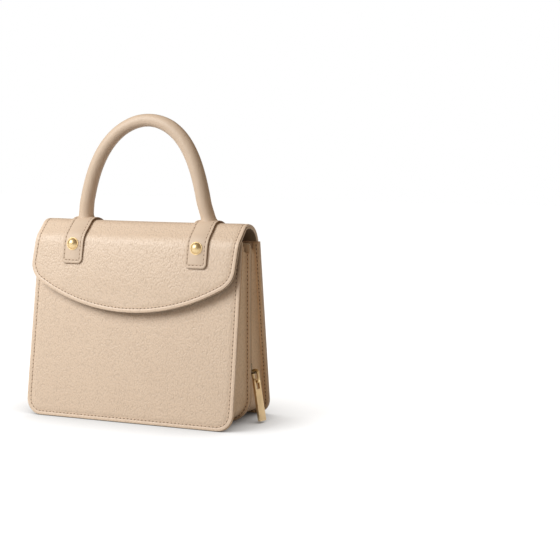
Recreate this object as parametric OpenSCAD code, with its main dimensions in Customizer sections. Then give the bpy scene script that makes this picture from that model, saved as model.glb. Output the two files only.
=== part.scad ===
// Small structured top handle bag: a front pocket under a flap that carries the handle,
// and a rear pocket that a zip runs around, with a divider panel between them.
// +Z is up and the front faces -Y. The origin is on the rest plane, on the divider's foot.

/* [Panels] */
// Width across the front, divider and back panels
body_w = 220; // [190:1:250]
// Height of the front panel's top edge
body_h = 175; // [160:1:200]
// Depth across the feet of the front and back panels
foot_d = 94.4; // [86:0.2:104]
// Depth across both panels at the front panel's top edge
top_d = 40.4; // [37:0.2:46]
// Radius of the panels' bottom corners
corner_r = 15.5; // [13:0.5:22]
// Thickness of the front and back panels
panel_t = 2.5; // [2:0.1:3.2]
// Drop from the front panel's top edge to the back panel's
back_drop = 2.5; // [1:0.1:4]
// Drop from the front panel's top edge to the divider's
divider_drop = 5; // [4:0.5:8]
// Thickness of the divider
divider_t = 2.6; // [2:0.1:3.2]
// Distance of the divider's rear face behind the origin
divider_back = 0.1; // [0.1:0.1:1]
// Radius of the divider's top corners
divider_top_r = 5; // [3:0.5:8]

/* [Gussets] */
// Thickness of the gusset leather
gusset_t = 1.6; // [1.2:0.1:2]
// Width of the flanges that are turned out and sewn to the panels
flange_w = 5; // [4:0.5:7]
// Drop from the divider's top edge to the top of the rear gusset
ring_drop = 2; // [1:0.5:4]
// Radius of the rear gusset's top corners
ring_top_r = 8; // [6:0.5:12]

/* [Lining and boards] */
// Thickness of the pocket linings
lining_t = 0.8; // [0.5:0.1:1.2]
// Distance from a lining's edge to the gusset around it
lining_gap = 0.8; // [0.4:0.1:1.5]
// Height of the bare leather above the front pocket's lining
lining_drop = 6; // [3:0.5:12]
// Thickness of the boards that stiffen the pocket floors
board_t = 1.5; // [1:0.1:2.5]
// Clearance between soft pieces that don't touch
soft_gap = 0.3; // [0.3:0.05:0.6]

/* [Flap] */
// Width of the flap
flap_w = 218; // [186:1:248]
// Rise of the flap's ridge above its hinge
flap_rise = 15.6; // [13:0.2:20]
// Drop from the flap's ridge to the lowest point of its lip
lip_drop = 85; // [72:0.5:98]
// Radius of the lip's long arc
lip_r = 197; // [180:1:240]
// Radius of the flap's lower corners
flap_corner_r = 22; // [14:0.5:28]
// Gap between the front panel and the flap's lining
flap_gap = 3.2; // [3:0.1:4.5]
// Thickness of the flap's outer leather
flap_skin_t = 1.8; // [1.4:0.1:2.2]
// Thickness of the flap's stiffener
stiffener_t = 1; // [0.8:0.1:1.4]
// Thickness of the flap's lining
flap_lining_t = 1.2; // [0.8:0.1:1.6]
// Distance from the flap's edge to the stiffener inside it
stiffener_inset = 6; // [4:0.5:10]
// Height of the hinge line above the back panel's top edge
hinge_rise = 1.4; // [1.2:0.1:2]
// Distance of the flap's heel in front of the hinge line
heel_gap = 0.9; // [0.8:0.05:1.2]
// Thickness of the strip that carries the flap on the back panel
tail_t = 1.2; // [0.8:0.1:1.3]
// Length of that strip down the back panel
tail_h = 22; // [14:1:30]
// Diameter of the fold that the flap turns on
fold_d = 0.9; // [0.8:0.05:1]

/* [Handle] */
// Half the distance between the handle's feet, to the middle of the tube
handle_half = 66.4; // [56:0.2:76]
// Rise of the middle of the tube above the tabs
handle_rise = 95.2; // [80:0.2:115]
// Diameter of the handle at its top
handle_top_d = 12.2; // [11:0.2:14]
// Diameter of the handle at its feet
handle_foot_d = 14.6; // [12:0.2:16]
// Thickness of the leather wrapped around the handle's core
wrap_t = 1.4; // [1:0.1:2]
// Clearance around the core, to the wrap and to the tabs
core_gap = 0.15; // [0.1:0.05:0.25]
// Distance of the handle behind the middle of the flap's arch
handle_back = 2; // [0:0.5:3]
// Height of the flare at the handle's foot
foot_h = 7; // [4:0.5:10]
// How far the flare stands out around the handle
foot_flare = 2.2; // [1:0.1:2.4]

/* [Handle tabs] */
// Width of a tab
tab_w = 22.5; // [21:0.5:26]
// Thickness of a tab
tab_t = 2.3; // [1.6:0.1:2.8]
// Radius of a tab's lower corners
tab_corner_r = 4.5; // [2:0.5:7]
// Drop from the flap's ridge to a tab's lower edge
tab_drop = 40.5; // [36:0.5:46]
// Angle from the flap's heel to a tab's rear end, around the flap's arch
tab_heel_turn = 12; // [10:1:20]

/* [Rivets] */
// Drop from the flap's ridge to the middle of the rivets
rivet_drop = 21.5; // [21.5:0.5:27]
// Diameter of a rivet's dome
dome_d = 11; // [8:0.2:12]
// Height of the dome above its base ring
dome_h = 3.6; // [2.5:0.1:4.5]
// Width of the base ring around the dome
rivet_rim = 0.6; // [0.4:0.1:1]
// Thickness of the base ring
rivet_base_t = 0.9; // [0.6:0.1:1.2]
// Diameter of a rivet's post
rivet_post_d = 3.2; // [2.5:0.1:4]
// Diameter of the cap on the inner end of a post
rivet_back_d = 9; // [7:0.5:11]
// Thickness of that cap
rivet_back_t = 1.2; // [0.8:0.1:1.6]
// Clearance around every post in its hole
post_gap = 0.05; // [0.03:0.01:0.08]

/* [Magnetic snap] */
// Height of the snap's middle above the lowest point of the flap's lip
snap_rise = 20.5; // [15:0.5:30]
// Diameter of both halves of the snap
snap_d = 17; // [14:0.5:19]
// Thickness of the half on the front panel
snap_female_t = 1.5; // [1.2:0.1:1.6]
// Gap between the closed halves
snap_gap = 0.4; // [0.3:0.05:0.6]
// Diameter of the posts that hold each half
snap_post_d = 4; // [3:0.2:5]
// Diameter of the washers on the posts
washer_d = 13; // [10:0.5:14]
// Thickness of the washers
washer_t = 0.6; // [0.4:0.05:0.8]

/* [Zip] */
// Height of the zip's two lower ends
zip_end_z = 44; // [44:1:60]
// Gap between the two leather edges that the zip fills
zip_opening = 8; // [7.6:0.1:9]
// Width of the leather between the divider and the zip
facing_w = 3.6; // [2.8:0.1:4]
// Thickness of the zip's tapes
tape_t = 0.7; // [0.5:0.05:0.8]
// Width of tape that runs under each leather edge
tape_lap = 2.4; // [1.5:0.1:2.7]
// Length of tape that runs under the leather at the zip's lower ends
tape_tail = 7; // [4:0.5:10]
// Width of one row of teeth
teeth_w = 1.8; // [1.5:0.1:1.9]
// Thickness of the teeth
teeth_t = 1.8; // [1.5:0.1:2]
// Gap between the two rows of teeth
teeth_gap = 0.8; // [0.7:0.05:1]
// Height of the stops at the zip's lower ends
stop_h = 2; // [1.5:0.1:3]

/* [Zip slider] */
// Length of the slider
slider_l = 11; // [10:0.5:13]
// Thickness of the slider's plates
slider_wall = 1.2; // [1:0.1:1.4]
// Clearance around the teeth and the tapes in the slider
slider_gap = 0.2; // [0.15:0.05:0.3]
// Clearance between the slider and the leather edges
slider_side_gap = 0.3; // [0.25:0.05:0.4]
// Clearance beside the rows of teeth in the slider
row_gap = 0.5; // [0.3:0.05:0.6]
// Clearance on each side of the wedge between the rows
wedge_gap = 0.15; // [0.1:0.05:0.2]
// Length of the wedge
wedge_l = 4; // [3:0.5:5]
// Diameter of the lug's rod, which the loop hangs on
lug_rod_d = 2; // [1.6:0.1:2.2]
// Distance of the rod's middle out from the slider's face
lug_out = 4.7; // [4.6:0.1:5.2]
// Distance of the rod's middle below the slider's
lug_drop = 2.4; // [2:0.1:3]
// Distance between the middles of the lug's two legs
lug_span = 5.6; // [5.5:0.1:5.8]
// Thickness of the legs
lug_leg_t = 1; // [0.8:0.1:1.2]
// Height of the legs
lug_leg_w = 1.5; // [1.2:0.1:1.5]
// How far the rod stands out beyond the legs at each end
rod_end = 0.5; // [0.4:0.1:0.7]
// Clearance between the rod and the loop's wire
rod_gap = 0.25; // [0.2:0.05:0.4]

/* [Zip pull] */
// Diameter of the loop's wire
wire_d = 2.2; // [1.8:0.1:2.4]
// Width of the loop, outside
loop_w = 8.8; // [8.4:0.1:10]
// Length of the loop, outside
loop_l = 13.5; // [12:0.5:14]
// Radius of the loop's corners, to the middle of the wire
loop_corner_r = 2; // [1.6:0.1:2.4]
// Turn of the pull towards the front
pull_turn = 16; // [8:0.5:16]
// Lean of the hanging pull away from the bag
pull_lean = 11; // [9:0.5:14]
// Length of the bar below the loop's wire
bar_l = 37.6; // [28:0.2:37.6]
// Width of the bar at its top
bar_top_w = 8.8; // [8:0.1:9.4]
// Width of the bar at its bottom
bar_end_w = 9.6; // [8.6:0.1:10]
// Thickness of the bar
bar_t = 2.5; // [2:0.1:2.8]
// Length of the window in the bar
window_l = 8.6; // [7:0.2:10]
// Width of the window in the bar
window_w = 4.8; // [4:0.1:5.4]
// Distance from the loop's wire to the window's top, from middle to edge
window_up = 1.75; // [1.6:0.05:2]
// Thickness of the bar above its window
window_top_t = 1.3; // [1:0.1:1.6]
// Radius of the bar's corners
bar_corner_r = 1.4; // [0.8:0.1:2]

/* [Hidden] */
$fn = 96;

// Overrun of every cut past the face that it opens
over = 1;
// Depth to which joined pieces of one solid reach into each other
lap = 0.2;

leather = [0.86, 0.76, 0.65];
leather_inside = [0.36, 0.30, 0.22];
gusset_leather = [0.80, 0.70, 0.59];
lining_cloth = [0.45, 0.38, 0.29];
board_grey = [0.55, 0.53, 0.50];
brass = [0.82, 0.68, 0.38];
steel = [0.70, 0.70, 0.72];
tape_cloth = [0.74, 0.64, 0.52];
cord_white = [0.90, 0.88, 0.84];

// Lean of the front and back panels from upright
lean = atan((foot_d - top_d) / 2 / body_h);
half_w = body_w / 2;
divider_front = divider_back - divider_t;
divider_h = body_h - divider_drop;
back_h = body_h - back_drop;
gusset_top = divider_h - divider_top_r;
ring_top = divider_h - ring_drop;
// Inset of the gussets' inner faces from the panels' edges
wall_inset = flange_w + gusset_t;

// Flap: its outer face is one arc from the hinge to the skirt, which it meets smoothly
flap_t = flap_skin_t + stiffener_t + flap_lining_t;
skirt_out = flap_gap + flap_t;
hinge_z = back_h + hinge_rise;
heel_y = back_y(-panel_t, hinge_z) - heel_gap / 2;
hinge_y = heel_y + heel_gap;
ridge_z = hinge_z + flap_rise;
arch_a = (ridge_z * sin(lean) - skirt_out) / cos(lean) - foot_d / 2;
arch_b = (1 - sin(lean)) / cos(lean);
arch_m = (heel_y - arch_a) * arch_b + flap_rise;
arch_q = pow(heel_y - arch_a, 2) + pow(flap_rise, 2);
arch_r = (arch_m - sqrt(pow(arch_m, 2) - pow(arch_b, 2) * arch_q)) / pow(arch_b, 2);
arch_y = arch_a + arch_b * arch_r;
arch_z = ridge_z - arch_r;
arch_v = (arch_y + foot_d / 2) * sin(lean) + arch_z * cos(lean);
heel_turn = atan2(hinge_z - arch_z, heel_y - arch_y);
lip_v = up_v(skirt_out, ridge_z - lip_drop);

// Handle: its feet stand on the tabs, over the flap's ridge
tab_r = arch_r + tab_t;
handle_y = arch_y + handle_back;
handle_base = arch_z + tab_r;
foot_turn = asin(foot_h / handle_rise);
// Numbers of points around the tube, and of steps up its feet and around its bow
handle_sides = 16;
foot_steps = 3;
handle_steps = 26;

snap_v = up_v(flap_gap, ridge_z - lip_drop + snap_rise);
snap_male_t = flap_gap - snap_female_t - snap_gap;
rivet_v = up_v(skirt_out + tab_t, ridge_z - rivet_drop);
// How far the caps stand in from the skirt's lining, to clear the start of the arch
cap_rise = max(0, rivet_v + rivet_back_d / 2 - arch_v);
cap_gap = post_gap + pow(cap_rise, 2) / (2 * (arch_r - flap_t));

// Zip: its middle plane, and the middle of its tapes inside the leather
zip_y = divider_back + facing_w + zip_opening / 2;
rear_edge = zip_y + zip_opening / 2;
row_inner = teeth_gap / 2;
row_outer = teeth_gap / 2 + teeth_w;
tape_mid_inset = wall_inset + tape_t / 2;
tape_x = half_w - tape_mid_inset;
slider_z = zip_end_z + slider_l / 2 + stop_h / 4;
slider_face = teeth_t / 2 + slider_gap + slider_wall;
rod_x = tape_x + slider_face + lug_out;
rod_z = slider_z - lug_drop;
loop_r = (loop_w - wire_d) / 2;
loop_drop = loop_l - wire_d;
loop_top = (lug_rod_d + wire_d) / 2 + rod_gap;

// Y of the front panel's plane moved out by n, at height z
function front_y(n, z) = z * tan(lean) - foot_d / 2 - n / cos(lean);
function back_y(n, z) = -front_y(n, z);
// Distance up the front panel's plane, moved out by n, to height z
function up_v(n, z) = (z - n * sin(lean)) / cos(lean);

// Puts children drawn in the front panel's plane in place, with +Z out of the bag
module front_frame() {
    translate([0, -foot_d / 2, 0]) rotate([90 - lean, 0, 0]) children();
}

module back_frame() {
    mirror([0, 1, 0]) front_frame() children();
}

// Extrudes an upright outline from one Y to another
module upright(y0, y1) {
    translate([0, y1, 0]) rotate([90, 0, 0]) linear_extrude(y1 - y0) children();
}

// Extrudes a side view across the bag
module across(w) {
    rotate([90, 0, 90]) linear_extrude(w, center = true) children();
}

module above_floor() {
    intersection() {
        children();
        translate([-body_w, -foot_d, 0]) cube([2 * body_w, 2 * foot_d, 2 * body_h]);
    }
}

// Upright rectangle with round bottom corners, and round top corners where top_r isn't 0
module panel_shape(half, z0, z1, bottom_r, top_r) {
    translate([-half, z0 + bottom_r]) square([2 * half, z1 - top_r - z0 - bottom_r]);
    translate([bottom_r - half, z0]) square([2 * (half - bottom_r), bottom_r + lap]);
    for (side = [-1, 1]) translate([side * (half - bottom_r), z0 + bottom_r]) circle(r = bottom_r);
    if (top_r > 0) {
        translate([top_r - half, z1 - top_r - lap]) square([2 * (half - top_r), top_r + lap]);
        for (side = [-1, 1]) translate([side * (half - top_r), z1 - top_r]) circle(r = top_r);
    }
}

// Outline at an inset from the panels' edges, open at the top
module tray_shape(inset, top) {
    panel_shape(half_w - inset, inset, top, corner_r - inset, 0);
}

// Outline of the rear gusset at an inset from the panels' edges
module ring_shape(inset) {
    drop = inset - flange_w;
    panel_shape(half_w - inset, inset, ring_top - drop, corner_r - inset, ring_top_r - drop);
}

// Band between two insets of the open outline
module tray_band(inset0, inset1, top) {
    difference() {
        tray_shape(inset0, top);
        tray_shape(inset1, top + over);
    }
}

// Band between two insets of the closed outline, cut off below a height
module ring_band(inset0, inset1, low) {
    difference() {
        ring_shape(inset0);
        ring_shape(inset1);
        translate([-body_w, low - body_h]) square([2 * body_w, body_h]);
    }
}

// Flange sewn to the inner face of the front panel
module slanted_flange(top) {
    above_floor() front_frame() translate([0, 0, -panel_t - gusset_t])
        linear_extrude(gusset_t) tray_band(0, wall_inset, up_v(-panel_t, top));
}

module front_panel() {
    color(leather) difference() {
        above_floor() front_frame() translate([0, 0, -panel_t])
            linear_extrude(panel_t) tray_shape(0, up_v(0, body_h));
        front_frame() translate([0, snap_v, -panel_t - over])
            cylinder(r = snap_post_d / 2 + post_gap, h = panel_t + 2 * over);
        front_frame() translate([0, snap_v, -panel_t - over])
            cylinder(r = washer_d / 2 + post_gap, h = washer_t + over);
    }
}

module back_panel() {
    color(leather) above_floor() back_frame() translate([0, 0, -panel_t])
        linear_extrude(panel_t) tray_shape(0, up_v(0, back_h));
}

module divider_panel() {
    color(leather) upright(divider_front, divider_back)
        panel_shape(half_w, 0, divider_h, corner_r, divider_top_r);
}

module front_gusset() {
    color(gusset_leather) {
        slanted_flange(gusset_top);
        upright(divider_front - gusset_t, divider_front) tray_band(0, wall_inset, gusset_top);
        intersection() {
            upright(-foot_d / 2, divider_front) tray_band(flange_w, wall_inset, gusset_top);
            across(body_w) polygon([
                [front_y(lap - panel_t - gusset_t, 0), 0],
                [divider_front - gusset_t + lap, 0],
                [divider_front - gusset_t + lap, body_h],
                [front_y(lap - panel_t - gusset_t, body_h), body_h]]);
        }
    }
}

module rear_gusset() {
    color(gusset_leather) {
        mirror([0, 1, 0]) slanted_flange(ring_top);
        upright(divider_back, divider_back + gusset_t) tray_band(0, wall_inset, zip_end_z);
        intersection() {
            upright(0, foot_d / 2) ring_band(flange_w, wall_inset, 0);
            across(body_w) polygon([
                [divider_back, 0],
                [divider_back, zip_end_z],
                [rear_edge, zip_end_z],
                [rear_edge, body_h],
                [back_y(lap - panel_t - gusset_t, body_h), body_h],
                [back_y(lap - panel_t - gusset_t, 0), 0]]);
        }
    }
}

// Leather around the zip's front edge, sewn to the divider's rear face
module zip_facing() {
    low = zip_end_z + soft_gap;
    color(gusset_leather) {
        upright(divider_back, divider_back + facing_w) ring_band(flange_w, wall_inset, low);
        upright(divider_back, divider_back + gusset_t) difference() {
            tray_band(0, wall_inset, gusset_top);
            translate([-body_w, low - body_h]) square([2 * body_w, body_h]);
        }
    }
}

// Sheet of lining on a panel's inner face, in that panel's plane
module slanted_lining(low, top) {
    translate([0, 0, -panel_t - lining_t]) linear_extrude(lining_t) difference() {
        tray_shape(wall_inset + lining_gap, top);
        translate([-body_w, low - body_h]) square([2 * body_w, body_h]);
    }
}

module front_panel_lining() {
    color(lining_cloth) front_frame()
        slanted_lining(up_v(-panel_t - lining_t, wall_inset + lining_gap),
                       up_v(-panel_t, gusset_top - lining_drop));
}

module back_panel_lining() {
    color(lining_cloth) back_frame()
        slanted_lining(up_v(-panel_t - lining_t, wall_inset + lining_gap),
                       up_v(0, back_h) - tail_h - soft_gap);
}

module divider_front_lining() {
    color(lining_cloth) upright(divider_front - lining_t, divider_front)
        tray_shape(wall_inset + lining_gap, gusset_top - lining_drop);
}

module divider_rear_lining() {
    color(lining_cloth) upright(divider_back, divider_back + lining_t)
        tray_shape(tape_mid_inset + teeth_t / 2 + lining_gap, gusset_top - lining_drop);
}

// Board on the floor of a pocket, from one Y to another
module base_board(y0, y1) {
    reach = half_w - max(corner_r, wall_inset + lining_gap);
    translate([-reach, y0, wall_inset]) cube([2 * reach, y1 - y0, board_t]);
}

module front_base_board() {
    color(board_grey) base_board(
        front_y(-panel_t - gusset_t - soft_gap, wall_inset + board_t),
        divider_front - gusset_t - soft_gap);
}

module rear_base_board() {
    color(board_grey) base_board(
        divider_back + gusset_t + soft_gap,
        back_y(-panel_t - gusset_t - soft_gap, wall_inset + board_t));
}

module zip_tape_front() {
    color(tape_cloth) upright(zip_y - zip_opening / 2 - tape_lap, zip_y - row_outer)
        ring_band(wall_inset, wall_inset + tape_t, zip_end_z - tape_tail);
}

module zip_tape_rear() {
    color(tape_cloth) upright(zip_y + row_outer, rear_edge + tape_lap)
        ring_band(wall_inset, wall_inset + tape_t, zip_end_z - tape_tail);
}

// One row of closed teeth, all round the zip's path
module teeth_row(y0, y1) {
    upright(y0, y1) ring_band(tape_mid_inset - teeth_t / 2, tape_mid_inset + teeth_t / 2,
                              zip_end_z + stop_h);
}

module zip_teeth_front() {
    color(brass) teeth_row(zip_y - row_outer, zip_y - row_inner);
}

module zip_teeth_rear() {
    color(brass) teeth_row(zip_y + row_inner, zip_y + row_outer);
}

// The stops across both rows, at the zip's two lower ends
module zip_stops() {
    color(brass) for (side = [-1, 1])
        translate([side * tape_x - teeth_t / 2, zip_y - row_outer, zip_end_z])
            cube([teeth_t, 2 * row_outer, stop_h]);
}

// Side view of all that lies under an arc of radius r and the skirt that goes on from it
module under_flap(r, reach) {
    translate([arch_y, arch_z]) {
        circle(r = r);
        rotate(180 - lean) square([r, reach]);
    }
}

// Part of the flap's thickness: out is its outer face's distance outside the flap's own,
// and heel the angle at which its arc starts
module flap_band(w, out, t, heel) {
    reach = arch_v - lip_v + over;
    room = 2 * arch_r;
    across(w) difference() {
        under_flap(arch_r + out, reach);
        under_flap(arch_r + out - t, reach + over);
        translate([arch_y, arch_z]) {
            rotate(270 - lean) square(room);
            rotate(heel - 90) square(room);
        }
    }
}

// The flap's outline at an inset from its edge, in the front panel's plane. The lip's arc
// ends just short of the place where it would touch the corner's, so that they cross.
module flap_outline(inset) {
    corner_x = flap_w / 2 - flap_corner_r;
    swing = lip_r - flap_corner_r;
    corner_turn = asin(corner_x / swing);
    middle_v = lip_v + lip_r;
    corner_v = middle_v - swing * cos(corner_turn);
    end_turn = corner_turn - asin(over / lip_r);
    out_x = (lip_r + over) * sin(end_turn);
    out_v = middle_v - (lip_r + over) * cos(end_turn);
    top = arch_v + 2 * arch_r;
    for (side = [-1, 1]) translate([side * corner_x, corner_v]) circle(r = flap_corner_r - inset);
    translate([inset - flap_w / 2, corner_v]) square([flap_w - 2 * inset, top - corner_v]);
    intersection() {
        translate([0, middle_v]) circle(r = lip_r - inset, $fn = 4 * $fn);
        polygon([[-corner_x, corner_v], [-out_x, out_v], [0, lip_v - lip_r / 2],
                 [out_x, out_v], [corner_x, corner_v], [0, corner_v + over]]);
    }
}

module flap_cut(inset) {
    front_frame() translate([0, 0, -foot_d]) linear_extrude(2 * foot_d) flap_outline(inset);
}

// Holes for the rivets' posts
module rivet_holes() {
    for (side = [-1, 1]) front_frame() translate([side * handle_half, rivet_v, 0])
        cylinder(r = rivet_post_d / 2 + post_gap, h = skirt_out + tab_t + over);
}

// Hole in the flap's inner layers for the snap
module snap_hole(d) {
    front_frame() translate([0, snap_v, 0]) cylinder(r = d / 2 + post_gap, h = skirt_out - flap_skin_t);
}

module flap_leather() {
    color(leather) difference() {
        intersection() {
            flap_band(flap_w + over, 0, flap_skin_t, heel_turn);
            flap_cut(0);
        }
        rivet_holes();
    }
}

module flap_stiffener() {
    color(board_grey) difference() {
        intersection() {
            flap_band(flap_w + over, -flap_skin_t, stiffener_t, heel_turn + tab_heel_turn);
            flap_cut(stiffener_inset);
        }
        rivet_holes();
        snap_hole(washer_d);
    }
}

module flap_lining() {
    color(leather_inside) difference() {
        intersection() {
            flap_band(flap_w + over, -flap_skin_t - stiffener_t, flap_lining_t, heel_turn);
            flap_cut(0);
        }
        rivet_holes();
        snap_hole(snap_post_d);
    }
}

// The strip that the flap hangs from, on the back panel's inner face, and the fold on top of
// that panel that the flap turns on
module flap_tail() {
    reach = half_w - wall_inset - soft_gap;
    edge = up_v(0, back_h);
    top = edge + hinge_rise / 2;
    fold_n = (hinge_y - back_y(0, hinge_z)) * cos(lean);
    fold_v = up_v(fold_n, hinge_z);
    color(leather) back_frame() {
        translate([-reach, top - tail_h, -panel_t - tail_t]) cube([2 * reach, tail_h, tail_t]);
        translate([-reach, edge, -panel_t - lap])
            cube([2 * reach, top - edge, fold_n + fold_d / 2 + panel_t + lap]);
        translate([-reach, edge, fold_n - fold_d / 2]) cube([2 * reach, fold_v - edge, fold_d]);
        translate([-reach, fold_v, fold_n]) rotate([0, 90, 0]) cylinder(r = fold_d / 2, h = 2 * reach);
    }
}

module handle_tab(side) {
    low = up_v(skirt_out, ridge_z - tab_drop);
    color(leather) difference() {
        intersection() {
            translate([side * handle_half, 0, 0])
                flap_band(tab_w + over, tab_t, tab_t, heel_turn + tab_heel_turn);
            front_frame() translate([side * handle_half, 0, -foot_d]) linear_extrude(2 * foot_d)
                panel_shape(tab_w / 2, low, arch_v + 2 * arch_r, tab_corner_r, 0);
        }
        rivet_holes();
    }
}

module handle_tab_left() { handle_tab(-1); }
module handle_tab_right() { handle_tab(1); }

// Middle of the handle's tube: half an ellipse that stands on the tabs
function handle_point(t) = [handle_half * cos(t), handle_y, handle_base + handle_rise * sin(t)];

// Direction from the middle of the tube straight out of the handle's bow
function handle_out(t) =
    let (n = [handle_rise * cos(t), 0, handle_half * sin(t)]) n / norm(n);

function foot_share(t) = max(0, 1 - handle_rise * sin(t) / foot_h);

// Radius of the tube, which is thickest at its feet
function tube_radius(t) =
    (handle_top_d + (handle_foot_d - handle_top_d) * abs(cos(t))) / 2;

// Ring of points around the tube; the two end rings lie on the tabs' round
function tube_ring(t, r, seat) = [
    for (i = [0 : handle_sides - 1])
        let (turn = 360 * i / handle_sides,
             p = handle_point(t) + r * cos(turn) * handle_out(t) + [0, r * sin(turn), 0])
            t == 0 || t == 180 ? [p.x, p.y, tab_top(p.y) + seat] : p];

// Height of the tabs' outer face at a place y
function tab_top(y) = arch_z + sqrt(pow(tab_r, 2) - pow(y - arch_y, 2));

// Triangles between two neighbouring rings of points
function ring_faces(a, b) = [
    for (i = [0 : handle_sides - 1])
        let (j = (i + 1) % handle_sides)
            for (face = [[a + i, b + i, b + j], [a + i, b + j, a + j]]) face];

function joined(lists) = [for (list = lists) for (item = list) item];

handle_turns = concat(
    [for (i = [0 : foot_steps - 1]) asin(foot_h * i / foot_steps / handle_rise)],
    [for (i = [0 : handle_steps]) foot_turn + (180 - 2 * foot_turn) * i / handle_steps],
    [for (i = [foot_steps - 1 : -1 : 0]) 180 - asin(foot_h * i / foot_steps / handle_rise)]);

module handle_wrap() {
    rings = len(handle_turns);
    inner = rings * handle_sides;
    last = inner - handle_sides;
    color(leather) polyhedron(
        points = concat(
            joined([for (t = handle_turns)
                tube_ring(t, tube_radius(t) + foot_flare * pow(foot_share(t), 2), core_gap)]),
            joined([for (t = handle_turns) tube_ring(t, tube_radius(t) - wrap_t, core_gap)])),
        faces = concat(
            joined([for (k = [0 : rings - 2])
                ring_faces(k * handle_sides, (k + 1) * handle_sides)]),
            joined([for (k = [0 : rings - 2])
                ring_faces(inner + (k + 1) * handle_sides, inner + k * handle_sides)]),
            ring_faces(inner, 0),
            ring_faces(last, inner + last)));
}

module handle_core() {
    rings = len(handle_turns);
    last = (rings - 1) * handle_sides;
    feet = rings * handle_sides;
    color(cord_white) polyhedron(
        points = concat(
            joined([for (t = handle_turns)
                tube_ring(t, tube_radius(t) - wrap_t - core_gap, 2 * core_gap)]),
            [for (t = [0, 180])
                let (p = handle_point(t)) [p.x, p.y, tab_top(p.y) + 2 * core_gap]]),
        faces = concat(
            joined([for (k = [0 : rings - 2])
                ring_faces(k * handle_sides, (k + 1) * handle_sides)]),
            [for (i = [0 : handle_sides - 1]) [feet, i, (i + 1) % handle_sides]],
            [for (i = [0 : handle_sides - 1])
                [feet + 1, last + (i + 1) % handle_sides, last + i]]));
}

module rivets() {
    ball_r = (pow(dome_d / 2, 2) + pow(dome_h, 2)) / (2 * dome_h);
    color(brass) for (side = [-1, 1]) front_frame()
        translate([side * handle_half, rivet_v, skirt_out + tab_t]) {
            cylinder(r = dome_d / 2 + rivet_rim, h = rivet_base_t);
            intersection() {
                translate([0, 0, rivet_base_t + dome_h - ball_r]) sphere(r = ball_r);
                translate([0, 0, rivet_base_t - lap]) cylinder(r = dome_d / 2, h = dome_h + over);
            }
            translate([0, 0, -flap_t - tab_t - cap_gap - rivet_back_t / 2])
                cylinder(r = rivet_post_d / 2,
                         h = flap_t + tab_t + cap_gap + rivet_back_t / 2 + lap);
        }
}

module rivet_caps() {
    color(steel) for (side = [-1, 1]) front_frame()
        translate([side * handle_half, rivet_v, flap_gap - cap_gap - rivet_back_t]) difference() {
            cylinder(r = rivet_back_d / 2, h = rivet_back_t);
            translate([0, 0, rivet_back_t / 2])
                cylinder(r = rivet_post_d / 2 + post_gap, h = rivet_back_t);
        }
}

module snap_male() {
    color(brass) front_frame() translate([0, snap_v, flap_gap - snap_male_t]) {
        cylinder(r = snap_d / 2, h = snap_male_t);
        cylinder(r = snap_post_d / 2, h = snap_male_t + flap_lining_t + washer_t / 2);
    }
}

module snap_male_washer() {
    color(steel) front_frame() translate([0, snap_v, flap_gap + flap_lining_t]) difference() {
        cylinder(r = washer_d / 2, h = washer_t);
        translate([0, 0, -over]) cylinder(r = snap_post_d / 2 + post_gap, h = washer_t / 2 + over);
    }
}

module snap_female() {
    color(brass) front_frame() translate([0, snap_v, 0]) {
        cylinder(r = snap_d / 2, h = snap_female_t);
        translate([0, 0, washer_t / 2 - panel_t]) cylinder(r = snap_post_d / 2, h = panel_t);
    }
}

module snap_female_washer() {
    color(steel) front_frame() translate([0, snap_v, -panel_t]) difference() {
        cylinder(r = washer_d / 2, h = washer_t);
        translate([0, 0, washer_t / 2]) cylinder(r = snap_post_d / 2 + post_gap, h = washer_t);
    }
}

// Slider: two plates around the teeth, joined by a wedge between the rows
module zip_slider() {
    inner = teeth_t / 2 + slider_gap;
    side = zip_opening / 2 - slider_side_gap;
    channel = row_outer + row_gap;
    slot = tape_t / 2 + slider_gap;
    color(brass) translate([tape_x, zip_y, slider_z]) {
        difference() {
            cube([2 * slider_face, 2 * side, slider_l], center = true);
            cube([2 * inner, 2 * channel, slider_l + over], center = true);
            cube([2 * slot, 2 * side + over, slider_l + over], center = true);
        }
        translate([-inner - lap, wedge_gap - row_inner, slider_l / 2 - wedge_l])
            cube([2 * (inner + lap), 2 * (row_inner - wedge_gap), wedge_l]);
        for (end = [-1, 1])
            translate([slider_face - lap, (end * lug_span - lug_leg_t) / 2, -lug_drop - lug_leg_w / 2])
                cube([lug_out + lap + end * lug_span / 2 * tan(pull_turn), lug_leg_t, lug_leg_w]);
        translate([slider_face + lug_out, 0, -lug_drop]) rotate([90, 0, -pull_turn])
            cylinder(r = lug_rod_d / 2, h = (lug_span + lug_leg_t + 2 * rod_end) / cos(pull_turn),
                     center = true);
    }
}

// Puts children in the pull's frame: its origin is the middle of the loop's top wire, which
// hangs over the lug's rod, and its Y runs along that wire
module pull_frame() {
    translate([rod_x, zip_y, rod_z]) rotate([0, 0, -pull_turn]) rotate([0, -pull_lean, 0])
        translate([0, 0, loop_top]) rotate([0, 0, 90]) children();
}

// Loop of wire: its top turns round the lug's rod, and the bar turns on its straight foot
module zip_pull_loop() {
    corner_y = loop_r - loop_corner_r;
    leg = loop_drop - 2 * loop_corner_r;
    color(brass) pull_frame() {
        for (end = [0, 1]) translate([0, 0, -end * loop_drop]) rotate([180 * end, 0, 0]) {
            translate([0, -corner_y, 0]) rotate([-90, 0, 0])
                cylinder(r = wire_d / 2, h = 2 * corner_y);
            for (side = [0, 180]) rotate([0, 0, side])
                translate([0, corner_y, -loop_corner_r]) rotate([90, 0, 90])
                    rotate_extrude(angle = 90) translate([loop_corner_r, 0]) circle(r = wire_d / 2);
        }
        for (side = [-1, 1]) translate([0, side * loop_r, loop_corner_r - loop_drop])
            cylinder(r = wire_d / 2, h = leg);
    }
}

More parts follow.
